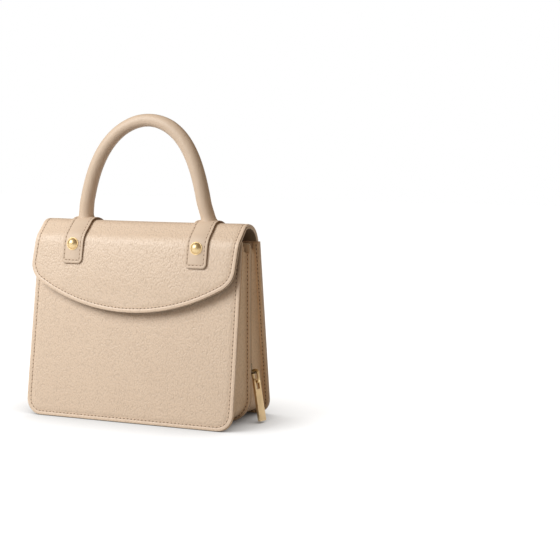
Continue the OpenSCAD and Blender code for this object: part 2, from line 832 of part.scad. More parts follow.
module zip_pull_bar() {
    top = window_up + window_top_t;
    color(brass) pull_frame() translate([0, bar_t / 2, -loop_drop]) rotate([90, 0, 0])
        linear_extrude(bar_t) difference() {
            union() {
                polygon([
                    [-bar_top_w / 2, top - bar_corner_r],
                    [-bar_end_w / 2, bar_corner_r - bar_l],
                    [bar_end_w / 2, bar_corner_r - bar_l],
                    [bar_top_w / 2, top - bar_corner_r]]);
                for (side = [-1, 1]) {
                    translate([side * (bar_top_w / 2 - bar_corner_r), top - bar_corner_r])
                        circle(r = bar_corner_r);
                    translate([side * (bar_end_w / 2 - bar_corner_r), bar_corner_r - bar_l])
                        circle(r = bar_corner_r);
                }
                translate([bar_corner_r - bar_top_w / 2, top - bar_corner_r - lap])
                    square([bar_top_w - 2 * bar_corner_r, bar_corner_r + lap]);
                translate([bar_corner_r - bar_end_w / 2, -bar_l])
                    square([bar_end_w - 2 * bar_corner_r, bar_corner_r + lap]);
            }
            translate([-window_w / 2, window_up - window_l]) square([window_w, window_l]);
        }
}

front_panel();
front_panel_lining();
front_gusset();
front_base_board();
divider_panel();
divider_front_lining();
divider_rear_lining();
rear_gusset();
zip_facing();
rear_base_board();
back_panel();
back_panel_lining();
flap_tail();
zip_tape_front();
zip_tape_rear();
zip_teeth_front();
zip_teeth_rear();
zip_stops();
flap_leather();
flap_stiffener();
flap_lining();
handle_tab_left();
handle_tab_right();
handle_wrap();
handle_core();
rivets();
rivet_caps();
snap_male();
snap_male_washer();
snap_female();
snap_female_washer();
zip_slider();
zip_pull_loop();
zip_pull_bar();
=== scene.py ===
import math

import bmesh
import bpy
from mathutils import Matrix, Vector


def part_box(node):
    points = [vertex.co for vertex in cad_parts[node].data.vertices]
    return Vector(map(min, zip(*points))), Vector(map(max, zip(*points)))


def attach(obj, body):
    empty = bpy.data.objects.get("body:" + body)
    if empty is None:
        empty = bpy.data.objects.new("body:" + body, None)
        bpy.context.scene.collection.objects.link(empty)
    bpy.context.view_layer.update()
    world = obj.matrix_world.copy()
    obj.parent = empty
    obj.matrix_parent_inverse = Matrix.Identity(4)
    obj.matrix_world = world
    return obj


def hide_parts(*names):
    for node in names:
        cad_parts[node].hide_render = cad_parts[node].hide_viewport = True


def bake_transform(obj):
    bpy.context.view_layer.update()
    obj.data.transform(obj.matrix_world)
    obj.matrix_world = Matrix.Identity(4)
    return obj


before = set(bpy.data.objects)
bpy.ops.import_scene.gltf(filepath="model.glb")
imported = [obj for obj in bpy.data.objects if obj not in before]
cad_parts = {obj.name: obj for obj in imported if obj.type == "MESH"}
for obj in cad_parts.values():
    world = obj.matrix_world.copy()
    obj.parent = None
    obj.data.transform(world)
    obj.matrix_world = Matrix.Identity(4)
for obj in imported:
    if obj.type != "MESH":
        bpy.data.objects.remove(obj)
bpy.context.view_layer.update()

bl_info = {
    "name": "Top Handle Bag",
    "version": (1, 0, 0),
    "blender": (4, 5, 0),
    "location": "3D View > Sidebar > Bag",
    "description": "Leather, thread, lining and metal of a bag with two pockets and a round handle",
    "category": "Object",
}

MM = 0.001


def cad_mm(node, end, axis):
    """Low (0) or high (1) end of a CAD node's box along an axis, in millimetres."""
    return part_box(node)[end][axis] / MM


# ---------------------------------------------------------------- sizes, in millimetres and degrees
HALF = (cad_mm("front_panel", 1, 0) - cad_mm("front_panel", 0, 0)) / 2
BODY_H = cad_mm("front_panel", 1, 2)
BACK_H = cad_mm("back_panel", 1, 2)
DIVIDER_H = cad_mm("divider_panel", 1, 2)
DIVIDER_Y = (cad_mm("divider_panel", 0, 1), cad_mm("divider_panel", 1, 1))
FOOT = 2 * cad_mm("back_panel", 1, 1)
PANEL_RUN, PANEL_RISE = 27, 175
LEAN = math.atan2(PANEL_RUN, PANEL_RISE)
PANEL_T, CORNER = 2.5, 15.5
FRONT_BOW, BOW_EDGE, BOW_RUN = 0.9, 8, (8, 48)
SWELL_FOOT, SWELL_RUN, SWELL_FADE, SWELL_LEFT = 8, 30, 0.8, 0.35
SOLE, SOLE_SHARE = 1.5, 0.7
SEAM_BED, SEAM_LIFT, SEAM_END = 0.14, 0.15, 3
DIVIDER_SEAM, FLANGE_SEAM, TAB_SEAM = 2.6, 3.0, 2.8
DIVIDER_TOP_R, DIVIDER_CORNER, DIVIDER_RAISE = 3.5, 25.0, 2.5

GUSSET_T, FLANGE = 1.6, 5.0
GUSSET_TOP, GUSSET_DIP, FLANGE_TOP = 170.0, 7.0, 171.5
RING_TOP, RING_R = 168.0, 8.0
REAR_EDGE = 11.7
WALL_STEPS = 6
WALL_X = 60  # a gusset's points beyond this X belong to its side walls
WALL_SAG, RING_SAG = (12, 52), (155, 125)  # heights between which the walls' sag comes and goes
EDGE_RUN = (35, 46)  # heights between which the rear gusset's edge moves back to the zip

ZIP_END, TAPE_END, TEETH_END = 44.0, 33.0, 47.0
ZIP_INSET = FLANGE + GUSSET_T + 0.6
TAPE_T, FACING = 0.7, 3.6
TAPES = (("zip_tape_front", 1.3, 5.9), ("zip_tape_rear", 9.5, 14.1))
TEETH = (("zip_teeth_front", 6.55, 1, 0.0), ("zip_teeth_rear", 8.85, -1, 0.5))
TOOTH_L, TOOTH_H, TOOTH_W, TOOTH_PITCH = 0.8, 1.3, 1.6, 1.5

LINING_INSET, REAR_LINING_INSET, LINING_LIFT = 7.4, 8.65, 0.7
LINING_OFF, LINING_T = 0.4, 0.5
LINING_TOP, BACK_LINING_TOP = 159, 150
RIPPLE, RIPPLE_SIDE, RIPPLE_TOP = 0.16, 12, 8
BOARD_SHARE = 0.82

FLAP_W, FLAP_T, SKIN_T = 218.0, 4.0, 2.2
LIP_R, LIP_CORNER, LIP_DROP = 197.0, 22.0, 84.4
ARCH_Y, ARCH_Z, ARCH_R = -4.90136, 165.773, 23.7266
HEEL_TURN = 20.03
RIDGE_FLAT, RIDGE_R, RIDGE_TURN = 1.0, 12.0, 42.0
RIDGE_DIP, RIDGE_RUN, RIDGE_LIFT, LIFT_IN, LIFT_OUT = 0.7, (8, 52), 0.5, 12, (30, 50)
SLOPE, SHOULDER_R = 13.0, 17.0
SKIRT_TILT, SKIRT_LINE = 2.4, 80
FLAP_HANG, HANG_RUN = 2.2, (50, 90)
BULGE_SIDE, BULGE_IN, BULGE_OUT = 6, (48, 72), (7, 37)
HINGE_REACH, HINGE_T = FLAP_W / 2 - 0.6, 0.8
HINGE_PATH = ((20.75, 152), (18.55, 171.6), (18.75, 172.9), (18.85, 173.8), (18.55, 174.6),
              (17.9, 175.1), (17.1, 175.5), (16.4, 175.9))

TAB_X, TAB_SHIFT, TAB_OUT = 66.4, 1.2, 2.9
TAB_W, TAB_T, TAB_R, TAB_DROP, TAB_HEEL = 22.5, 2.3, 4.5, 40.5, 12.0
RIVET_OUT, SNAP_OUT = 1.0, 1.9
HANDLE_Y, HANDLE_Z, HANDLE_RISE = -2.9, 191.8, 95.2
HANDLE_R, HANDLE_GROW = 6.1, 1.2
FLARE, FLARE_H = 1.3, 4
SEAT_H = 9
BOW_NARROW, BOW_TOP_X, BOW_LEFT, BOW_SPREAD = 0.040, 2.4, 1.3, 0.9
BOW_BACK, BOW_FRONT = 1.2, 4.5

EYE, EYE_TURN, LENS, SENSOR = (0.6095, -1.1330, 0.2732), (83.74, -0.15, 22.58), 85.0, 36.0

RIDGE_Z = ARCH_Z + ARCH_R
TAB_START = math.radians(TAB_HEEL) * ARCH_R


def ramp(value, low, high):
    """0 at low, 1 at high, and straight between."""
    return max(0.0, min(1.0, (value - low) / (high - low)))


def ease(share):
    """Softens both ends of a share."""
    return share * share * (3 - 2 * share)


def up_v(n, z):
    """Distance up the front panel's plane, moved out by n, to height z."""
    return (z - n * math.sin(LEAN)) / math.cos(LEAN)


def front_y(n, z):
    """Place of the front panel's plane, moved out by n, at height z."""
    return z * math.tan(LEAN) - FOOT / 2 - n / math.cos(LEAN)


def flap_path():
    """The flap's side view, as moves from its heel: over the ridge, down and onto the skirt.

    Returns the start, the moves, the length to the skirt's start and that point's height.
    """
    heel = math.radians(HEEL_TURN)
    start = Vector((ARCH_Y + ARCH_R * math.cos(heel), ARCH_Z + ARCH_R * math.sin(heel)))
    at = Vector((ARCH_Y - RIDGE_FLAT, RIDGE_Z))
    moves = [("round", ARCH_Y, ARCH_Z, 90 - HEEL_TURN, 50), ("to", at.x, at.y, 1),
             ("round", at.x, at.y - RIDGE_R, RIDGE_TURN, 20)]
    dip = math.radians(RIDGE_TURN)
    at += RIDGE_R * Vector((-math.sin(dip), math.cos(dip) - 1))
    at += SLOPE * Vector((-math.cos(dip), -math.sin(dip)))
    moves.append(("to", at.x, at.y, 12))
    last = math.pi / 2 - LEAN - math.radians(SKIRT_TILT)
    centre = at + SHOULDER_R * Vector((math.sin(dip), -math.cos(dip)))
    moves.append(("round", centre.x, centre.y, math.degrees(last - dip), 16))
    at = centre + SHOULDER_R * Vector((-math.sin(last), math.cos(last)))
    length = math.radians(90 - HEEL_TURN) * ARCH_R + RIDGE_FLAT
    length += RIDGE_R * dip + SLOPE + SHOULDER_R * (last - dip)
    foot = at + SKIRT_LINE * Vector((-math.cos(last), -math.sin(last)))
    moves.append(("to", foot.x, foot.y, 20))
    return start, moves, length, at.y


SIDE_START, SIDE_MOVES, BEND_LEN, BEND_Z = flap_path()
LIP_S = BEND_LEN + (BEND_Z - RIDGE_Z + LIP_DROP) / math.cos(LEAN)
TAB_S = BEND_LEN + (BEND_Z - RIDGE_Z + TAB_DROP) / math.cos(LEAN)

# Frames in which pieces are drawn: up the panels, and along the flap's side view
FLAT = Matrix.Identity(4)
FRONT = Matrix.Translation((0, -FOOT / 2, 0)) @ Matrix.Rotation(math.pi / 2 - LEAN, 4, "X")
BACK = Matrix.Rotation(math.pi, 4, "Z") @ FRONT
UPRIGHT = Matrix.Rotation(math.pi / 2, 4, "X")
SIDE_VIEW = Matrix(((0, 0, 1, 0), (1, 0, 0, 0), (0, 1, 0, 0), (0, 0, 0, 1)))


def upright_at(y):
    """The upright frame at a depth."""
    return Matrix.Translation((0, y, 0)) @ UPRIGHT


def lifted(panel, out):
    """A panel's frame, moved out of its plane."""
    return panel @ Matrix.Translation((0, 0, out))


def slid(x, out):
    """Moves a piece across the front panel and out from it."""
    return FRONT @ Matrix.Translation((x, 0, out)) @ FRONT.inverted()


# ---------------------------------------------------------------- bench work
def done():
    bpy.ops.object.mode_set(mode="OBJECT")


def everything():
    bpy.ops.mesh.select_all(action="SELECT")


def only(*pieces):
    """Selects these objects and nothing else, with the first one active."""
    if bpy.context.mode != "OBJECT":
        done()
    bpy.ops.object.select_all(action="DESELECT")
    for piece in pieces:
        piece.select_set(True)
    bpy.context.view_layer.objects.active = pieces[0]


def named(piece, name):
    piece.name = name
    piece.data.name = name
    return piece


def primitive(name, add, **settings):
    """Adds a named primitive, and leaves it selected in edit mode."""
    bpy.ops.object.select_all(action="DESELECT")
    add(**settings)
    bpy.ops.object.mode_set(mode="EDIT")
    everything()
    return named(bpy.context.object, name)


def edit(piece):
    only(piece)
    bpy.ops.object.mode_set(mode="EDIT")
    bpy.ops.mesh.select_all(action="DESELECT")


def pick(piece, kind, test):
    """Selects, in edit mode, the points, edges or faces that pass a test."""
    bpy.ops.mesh.select_mode(type=kind)
    bpy.ops.mesh.select_all(action="DESELECT")
    shape = bmesh.from_edit_mesh(piece.data)
    shape.verts.index_update()
    for item in {"VERT": shape.verts, "EDGE": shape.edges, "FACE": shape.faces}[kind]:
        if test(item):
            item.select_set(True)
    shape.select_flush_mode()
    bmesh.update_edit_mesh(piece.data)


def pull(step, times=1):
    """Extrudes what is selected by a step, again and again."""
    for _ in range(times):
        bpy.ops.mesh.extrude_region_move(TRANSFORM_OT_translate={"value": step})


def dot(name, at):
    """Starts a piece from one point, which is left selected in edit mode."""
    piece = primitive(name, bpy.ops.mesh.primitive_plane_add, size=1, location=(0, 0, 0))
    bpy.ops.mesh.select_mode(type="VERT")
    everything()
    bpy.ops.mesh.merge(type="CENTER")
    bpy.ops.transform.translate(value=at)
    return piece


def draw(name, start, moves):
    """Draws a line of straight runs and arcs in the XY plane, as a chain of edges.

    ("to", x, y, parts) runs straight to a point; ("round", x, y, degrees, parts) turns
    about a centre, to the left where the degrees are positive.
    """
    at = Vector((*start, 0))
    piece = dot(name, at)
    for kind, x, y, *rest in moves:
        goal = Vector((x, y, 0))
        if kind == "to":
            pull((goal - at) / rest[0], rest[0])
            at = goal
        else:
            angle = math.radians(rest[0])
            bpy.ops.mesh.spin(steps=rest[1], angle=-angle, center=goal, axis=(0, 0, 1))
            at = goal + Matrix.Rotation(angle, 3, "Z") @ (at - goal)
    return piece


def fill(piece):
    """Turns a drawn line into one face that looks up, and leaves it selected."""
    bpy.ops.mesh.select_mode(type="VERT")
    everything()
    bpy.ops.mesh.edge_face_add()
    bpy.ops.mesh.select_mode(type="FACE")
    everything()
    if bmesh.from_edit_mesh(piece.data).faces[0].normal.z < 0:
        bpy.ops.mesh.flip_normals()


def coat(piece, index):
    """Gives the selected faces one of the piece's finishes, by its place in the list."""
    while len(piece.data.materials) <= index:
        piece.data.materials.append(None)
    piece.active_material_index = index
    bpy.ops.object.material_slot_assign()


def rings(*steps):
    """Insets the selected face again and again: each step is a width and a rise."""
    for width, rise in steps:
        bpy.ops.mesh.inset(thickness=width, depth=rise, use_even_offset=True)


def rule(lines_x, lines_y):
    """Cuts a flat piece along lines across and along it, so that it can swell or sag."""
    for along, lines in ((Vector((1, 0, 0)), lines_x), (Vector((0, 1, 0)), lines_y)):
        for distance in lines:
            everything()
            bpy.ops.mesh.bisect(plane_co=along * distance, plane_no=along)


def spread(low, high, step):
    """Even places between two ends, about a step apart."""
    count = max(1, round((high - low) / step))
    return [low + (high - low) * i / count for i in range(1, count)]


def sculpt(piece, *moves):
    """Puts each point where the moves, one after another, say."""
    for point in piece.data.vertices:
        at = point.co.copy()
        for move in moves:
            at = move(at)
        point.co = at


def shift(x, y, z):
    """A move of every point by the same step."""
    return lambda co: co + Vector((x, y, z))


def modify(piece, kind, **settings):
    """Adds a modifier and applies it."""
    only(piece)
    modifier = piece.modifiers.new(kind.title(), kind)
    for name, value in settings.items():
        setattr(modifier, name, value)
    bpy.ops.object.modifier_apply(modifier=modifier.name)


def thicken(piece, thickness, inwards=1.0, rim=0):
    modify(piece, "SOLIDIFY", thickness=thickness, offset=-inwards, use_even_offset=True,
           use_rim=True, material_offset_rim=rim)


def soften(piece, width, parts=3, angle=50):
    modify(piece, "BEVEL", width=width, segments=parts, limit_method="ANGLE",
           angle_limit=math.radians(angle), use_clamp_overlap=True)


def bend(piece, line):
    """Bends a piece that runs along X to follow a line."""
    modify(piece, "CURVE", object=line, deform_axis="POS_X")


def repeat(piece, count, step):
    modify(piece, "ARRAY", count=count, use_relative_offset=False, use_constant_offset=True,
           constant_offset_displace=(step, 0, 0))


def turn(piece, matrix):
    """Turns and moves a piece, and applies its place."""
    only(piece)
    piece.matrix_world = matrix
    bpy.ops.object.transform_apply(location=True, rotation=True, scale=True)


def place(piece, matrix):
    """Puts a piece drawn in millimetres where it belongs."""
    turn(piece, Matrix.Scale(MM, 4) @ matrix)


def as_line(piece, start):
    """Turns a drawn chain of edges into a line that runs away from its start."""
    done()
    only(piece)
    bpy.ops.object.convert(target="CURVE")
    line = bpy.context.object
    line.data.dimensions = "2D"
    first = Vector(line.data.splines[0].points[0].co[:2])
    if (first - Vector(start)).length > 0.01:
        bpy.ops.object.mode_set(mode="EDIT")
        bpy.ops.curve.select_all(action="SELECT")
        bpy.ops.curve.switch_direction()
        done()
    return line


def guide(name, start, moves):
    """A line that other pieces follow."""
    return as_line(draw(name, start, moves), start)


def side_view_line():
    """The flap's outer face seen from the side, as a line that flat pieces are bent along."""
    return guide("flap_side_view", SIDE_START, SIDE_MOVES)


def guide_length(line):
    points = [Vector(p.co[:3]) for p in line.data.splines[0].points]
    return sum((b - a).length for a, b in zip(points, points[1:]))


def wrap(piece, line):
    """Bends a flat piece along the flap's side view: x runs along it and z stands out."""
    turn(piece, UPRIGHT)
    bend(piece, line)
    place(piece, SIDE_VIEW)


def smooth(piece, angle):
    only(piece)
    bpy.ops.object.shade_smooth_by_angle(angle=math.radians(angle))


def tidy(piece, angle=40):
    """Recalculates a closed piece's normals and shades it smooth between its sharp edges."""
    edit(piece)
    everything()
    bpy.ops.mesh.normals_make_consistent(inside=False)
    done()
    smooth(piece, angle)


def finish_piece(piece, body, slot, finishes, *nodes):
    """Gives a placed piece its finishes and its body, and hides the CAD solids it stands for. The
    slot is not used.
    """
    for index, finish in enumerate(finishes):
        if len(piece.data.materials) <= index:
            piece.data.materials.append(None)
        piece.data.materials[index] = FINISHES[finish]
    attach(piece, body)
    if nodes:
        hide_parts(*nodes)


def settle(piece, matrix, *fit, standing=False):
    """Places, tidies and finishes a piece, and flattens its foot where it stands."""
    place(piece, matrix)
    if standing:
        sculpt(piece, stand)
    tidy(piece)
    finish_piece(piece, *fit)


def dress(node, finish):
    """Gives a carried-over CAD node its finish."""
    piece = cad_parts[node]
    if piece.material_slots:
        for material_slot in piece.material_slots:
            material_slot.link = "OBJECT"
            material_slot.material = FINISHES[finish]
    else:
        piece.data.materials.append(FINISHES[finish])


def copy_of(piece, name):
    twin = piece.copy()
    twin.data = piece.data.copy()
    bpy.context.collection.objects.link(twin)
    return named(twin, name)


def merged_copy(node, name):
    """A copy of a CAD node in millimetres, with its loose triangles sewn together."""
    twin = copy_of(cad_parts[node], name)
    twin.parent = None
    for key in list(twin.keys()):
        del twin[key]
    turn(twin, Matrix.Scale(1 / MM, 4))
    edit(twin)
    everything()
    bpy.ops.mesh.remove_doubles(threshold=0.001)
    bpy.ops.mesh.customdata_custom_splitnormals_clear()
    bpy.ops.mesh.tris_convert_to_quads(face_threshold=0.01, shape_threshold=0.7)
    done()
    twin.data.materials.clear()
    return twin


# ---------------------------------------------------------------- finishes
class Wire:
    """A socket of a finish's nodes. Sums and products of wires add Math nodes."""

    def __init__(self, finish, socket):
        self.finish = finish
        self.socket = socket

    def maths(self, operation, *values):
        return self.finish.node("ShaderNodeMath", {"operation": operation},
                                dict(enumerate(values)))

    def __add__(self, other): return self.maths("ADD", self, other)
    def __radd__(self, other): return self.maths("ADD", other, self)
    def __sub__(self, other): return self.maths("SUBTRACT", self, other)
    def __rsub__(self, other): return self.maths("SUBTRACT", other, self)
    def __mul__(self, other): return self.maths("MULTIPLY", self, other)
    def __rmul__(self, other): return self.maths("MULTIPLY", other, self)
    def __pow__(self, other): return self.maths("POWER", self, other)
    def least(self, other): return self.maths("MINIMUM", self, other)
    def most(self, other): return self.maths("MAXIMUM", self, other)

    def step(self, low, high):
        """0 below low, 1 above high, and smooth between."""
        return self.finish.node(
            "ShaderNodeMapRange", {"interpolation_type": "SMOOTHSTEP"},
            {"Value": self, "From Min": low, "From Max": high})


class Finish:
    """A material, or a world, that is built node by node."""

    def __init__(self, owner, output="ShaderNodeOutputMaterial"):
        owner.use_nodes = True
        self.owner = owner
        self.output = output
        self.tree = owner.node_tree
        self.tree.nodes.clear()

    def node(self, kind, settings=None, inputs=None, out=0):
        made = self.tree.nodes.new(kind)
        for name, value in (settings or {}).items():
            setattr(made, name, value)
        for name, value in (inputs or {}).items():
            socket = made.inputs[name]
            if isinstance(value, Wire):
                self.tree.links.new(value.socket, socket)
            else:
                socket.default_value = value
        return None if out is None else Wire(self, made.outputs[out])

    def place(self):
        return self.node("ShaderNodeTexCoord", out="Object")

    def ray(self, kind):
        """1 for rays of a kind, and 0 for others."""
        return self.node("ShaderNodeLightPath", out="Is %s Ray" % kind)

    def noise(self, at, size, detail=2.0, roughness=0.5, out=0):
        """Soft noise whose patches are about a size across, in millimetres."""
        return self.node("ShaderNodeTexNoise", {}, {
            "Vector": at, "Scale": 1 / (size * MM), "Detail": detail, "Roughness": roughness},
            out)

    def stretched(self, at, by):
        return self.node("ShaderNodeVectorMath", {"operation": "MULTIPLY"}, {0: at, 1: by})

    def mix(self, share, first, second):
        """A colour between two colours."""
        return self.node("ShaderNodeMix", {"data_type": "RGBA"}, {0: share, 6: first, 7: second},
                         out=2)

    def bump(self, height, depth):
        """A normal from a height, which is depth millimetres from 0 to 1."""
        return self.node("ShaderNodeBump", {}, {
            "Height": height, "Distance": depth * MM, "Strength": 1.0})

    def show(self, shader):
        """Ends the nodes with a shader."""
        self.node(self.output, {}, {"Surface": shader}, out=None)
        return self.owner

    def surface(self, **inputs):
        names = {name.replace("_", " "): value for name, value in inputs.items()}
        return self.show(self.node("ShaderNodeBsdfPrincipled", {}, names))


def material(name):
    """A new material's nodes, and the place on the piece."""
    f = Finish(bpy.data.materials.new(name))
    return f, f.place()


def shade(colour, factor=1.0):
    return tuple(min(1.0, c * factor) for c in colour[:3]) + (1.0,)


def pebbled_leather(name, colour, grain, depth, roughness=0.42):
    """Leather with a fine crinkled grain, paler on its pebbles than in the lines between."""
    f, at = material(name)
    drift = f.noise(at, 4, 1.0, out="Color")
    moved = f.node("ShaderNodeVectorMath", {"operation": "MULTIPLY_ADD"},
                   {0: drift, 1: (1.4 * MM,) * 3, 2: at})
    slanted = f.node("ShaderNodeMapping", {}, {
        "Vector": moved, "Rotation": (0, math.radians(-28), 0), "Scale": (1.25, 1.0, 0.8)})
    off = f.node("ShaderNodeTexVoronoi", {"feature": "SMOOTH_F1"},
                 {"Vector": slanted, "Scale": 1 / (grain * MM), "Randomness": 0.9,
                  "Smoothness": 0.35})
    pebble = 1.0 - off * off * 1.5
    crinkle = f.noise(slanted, grain * 1.4, 1.0, 0.4)
    fine = f.noise(at, 0.5)
    patches = f.noise(at, 28, 3.0)
    tone = f.mix(pebble.step(0.2, 0.8), shade(colour, 0.93), shade(colour, 1.03))
    tone = f.mix(patches.step(0.35, 0.7), f.mix(0.035, tone, (0.45, 0.30, 0.20, 1)), tone)
    return f.surface(
        Base_Color=tone, Roughness=roughness + 0.08 - pebble * 0.12 + patches * 0.04,
        Normal=f.bump(pebble + crinkle * 0.35 + fine * 0.05, depth), Specular_IOR_Level=0.6,
        Sheen_Weight=0.04, Sheen_Roughness=0.5)


def smooth_leather(name, colour, roughness=0.5, depth=0.03, wear=0.12):
    """Close-grained leather, as on turned edges and a stitched tube."""
    f, at = material(name)
    pores = f.noise(at, 0.55, 3.0, 0.6)
    fold = f.noise(f.stretched(at, (1, 1, 0.35)), 6, 3.0, 0.55)
    patches = f.noise(at, 22)
    tone = f.mix(pores.step(0.3, 0.6), shade(colour, 0.95), shade(colour, 1.02))
    tone = f.mix(patches.step(0.3, 0.75) * wear, tone, shade(colour, 0.72))
    return f.surface(
        Base_Color=tone, Roughness=roughness + pores * 0.12,
        Normal=f.bump(pores * 0.5 + fold * 2.2, depth), Specular_IOR_Level=0.45)


def thread_finish(name, colour):
    f, at = material(name)
    strand = f.node("ShaderNodeTexWave", {"wave_type": "BANDS", "bands_direction": "DIAGONAL"},
                    {"Vector": at, "Scale": 1 / (2.2 * MM), "Distortion": 1.0})
    fuzz = f.noise(at, 0.3)
    tone = f.mix(strand * 0.7 + fuzz * 0.3, shade(colour, 0.82), shade(colour, 1.03))
    return f.surface(Base_Color=tone, Roughness=0.62 + fuzz * 0.2, Normal=f.bump(strand, 0.05),
                     Sheen_Weight=0.2)


# A dark finish for the dents at the stitches' ends: it paints the shade inside the needle holes.
def needle_hole(name, colour):
    f, at = material(name)
    return f.surface(Base_Color=f.mix(f.noise(at, 0.4), shade(colour, 0.7), shade(colour)),
                     Roughness=0.8)


def woven_cloth(name, colour, pitch, depth):
    """Plain-woven cloth: over and under threads in two directions."""
    f, at = material(name)
    across, up = (f.node("ShaderNodeTexWave", {"wave_type": "BANDS", "bands_direction": axis},
                         {"Vector": at, "Scale": 0.314 / (pitch * MM), "Distortion": 0.6,
                          "Detail": 1.0, "Detail Scale": 2.0}) for axis in "XZ")
    weave = across.most(up)
    patches = f.noise(at, 12, 3.0)
    tone = f.mix(weave * 0.8 + patches * 0.2, shade(colour, 0.7), shade(colour, 1.08))
    return f.surface(Base_Color=tone, Roughness=0.78 + patches * 0.12,
                     Normal=f.bump(weave, depth), Sheen_Weight=0.25, Sheen_Roughness=0.4)


def pressed_board(name, colour):
    f, at = material(name)
    fibres = f.noise(f.stretched(at, (0.3, 1, 1)), 0.8, 4.0, 0.7)
    return f.surface(Base_Color=f.mix(fibres, shade(colour, 0.8), shade(colour, 1.1)),
                     Roughness=0.85, Normal=f.bump(fibres, 0.05))


def plated_metal(name, colour, roughness, brushed=0.0):
    """Plated metal with faint wear, or with brushing along its length."""
    f, at = material(name)
    smears = f.noise(at, 6, 3.0)
    specks = f.noise(at, 0.5)
    grain = f.noise(f.stretched(at, (1, 1, 0.06)), 0.25)
    tone = f.mix(smears.step(0.3, 0.75), shade(colour, 0.93), shade(colour, 1.04))
    return f.surface(
        Base_Color=tone, Metallic=1.0,
        Roughness=roughness + smears * 0.08 + grain * brushed * 0.2,
        Normal=f.bump(grain * brushed + specks * 0.15, 0.012))


FINISHES = {}


def make_finishes(colours):
    leather, brass = colours.leather, colours.brass
    grain, depth = colours.grain_size / MM, colours.grain_depth / MM
    FINISHES.update(
        leather=pebbled_leather("bag_leather", leather, grain, depth),
        # The border is a finer-grained copy of the leather made 5 % paler. The finer grain is the
        # leather's own; the paler tone is painted light on the puffed, rolled border.
        border=pebbled_leather("border_leather", shade(leather, 1.05), grain * 0.85, depth * 0.4),
        # The side walls, the middle panel's faces and the zip facing take a lighter, warmer copy of
        # the bag's leather. It paints light into these shaded sides.
        gusset=pebbled_leather("gusset_leather", (0.93, 0.70, 0.48), grain, depth * 0.6, 0.5),
        inside=pebbled_leather("flap_inside_leather", colours.flap_inside, grain * 0.8, 0.06, 0.6),
        # The handle and the tabs are smooth leather. Their darker copies of the bag's leather
        # (×0.91, ×0.92) paint shade.
        handle=smooth_leather("handle_leather", shade(leather, 0.91), 0.42, 0.14, 0.10),
        tab=smooth_leather("tab_leather", shade(leather, 0.92), 0.46, 0.06, 0.05),
        # The edges are painted, and their colour is made paler than the leather to paint the light
        # that the rolled edges catch.
        edge=smooth_leather("painted_edge", colours.edge_paint),
        # The middle panel's border is paler still: painted light on the edge that stands out
        # between the gussets.
        pale_edge=smooth_leather("middle_panel_edge", (0.98, 0.80, 0.62), wear=0.05),
        # The middle panel's rim is brown: painted shade of the gap behind the panel's edge.
        brown_edge=smooth_leather("brown_painted_edge", (0.52, 0.36, 0.23)),
        # The tabs' rims are dark brown: painted shade along the tabs' sides.
        dark_edge=smooth_leather("dark_painted_edge", (0.30, 0.19, 0.11)),
        thread=thread_finish("seam_thread", colours.thread),
        # Dark dents at the stitches' ends: painted shade of the needle holes.
        hole=needle_hole("needle_hole", colours.needle_hole),
        lining=woven_cloth("pocket_lining_cloth", colours.lining, 0.5, 0.08),
        tape=woven_cloth("zip_tape_cloth", colours.zip_tape, 0.6, 0.10),
        board=pressed_board("base_board", (0.32, 0.30, 0.27)),
        brass=plated_metal("polished_brass", brass, 0.42),
        satin=plated_metal("satin_gold", colours.bar, 0.27, 0.8),
        wire=plated_metal("gold_wire", shade(brass, 1.08), 0.28),
        # The slider is brass darkened to a fifth: painted shade of the gap it sits in.
        slider=plated_metal("aged_brass_slider", shade(brass, 0.22), 0.5),
        teeth=plated_metal("zip_teeth_brass", shade(brass, 0.8), 0.3),
        steel=plated_metal("hidden_steel", (0.55, 0.55, 0.56), 0.35),
    )


# ---------------------------------------------------------------- shared shapes
def u_line(x, low, top, r, turns=8, parts=6):
    """Start and moves of a U with round corners, down one side and up the other."""
    return (-x, top), [
        ("to", -x, low + r, parts), ("round", r - x, low + r, 90, turns), ("to", x - r, low, 8),
        ("round", x - r, low + r, 90, turns), ("to", x, top, parts)]


def closed_line(x, low, top, r, top_r, top_turns, turns=8, parts=6):
    """A U whose sides turn in at the top, so that its ends can be joined."""
    _, moves = u_line(x, low, top - top_r, r, turns, parts)
    return (top_r - x, top), [("round", top_r - x, top - top_r, 90, top_turns), *moves,
                              ("round", x - top_r, top - top_r, 90, top_turns)]


def tray_line(inset, top, corner=CORNER):
    """The panels' open outline."""
    return u_line(HALF - inset, inset, top, corner - inset)


def ring_line(inset, corner):
    """The rear gusset's closed outline, anticlockwise from its top."""
    drop = inset - FLANGE
    return closed_line(HALF - inset, inset, RING_TOP - drop, corner - inset, RING_R - drop, 6,
                       parts=12)


def arch_line(inset, low, parts, turns, top_parts):
    """The zip's path: up one side, over the top and down the other."""
    x, drop = HALF - inset, inset - FLANGE
    top, r = RING_TOP - drop, RING_R - drop
    return (x, low), [
        ("to", x, top - r, parts), ("round", x - r, top - r, 90, turns),
        ("to", r - x, top, top_parts), ("round", r - x, top - r, 90, turns),
        ("to", -x, low, parts)]


def flap_line(inset, start=0.0):
    """The flap's edge, flat: x runs down from its heel, y across it."""
    half = FLAP_W / 2
    x = LIP_S - LIP_R
    swing = LIP_R - LIP_CORNER
    lean = math.degrees(math.asin((half - LIP_CORNER) / swing))
    corner = x + swing * math.cos(math.radians(lean))
    return (start, inset - half), [
        ("to", corner, inset - half, 10),
        ("round", corner, LIP_CORNER - half, 90 - lean, 10),
        ("round", x, 0, 2 * lean, 24),
        ("round", corner, half - LIP_CORNER, 90 - lean, 10),
        ("to", start, half - inset, 10)]


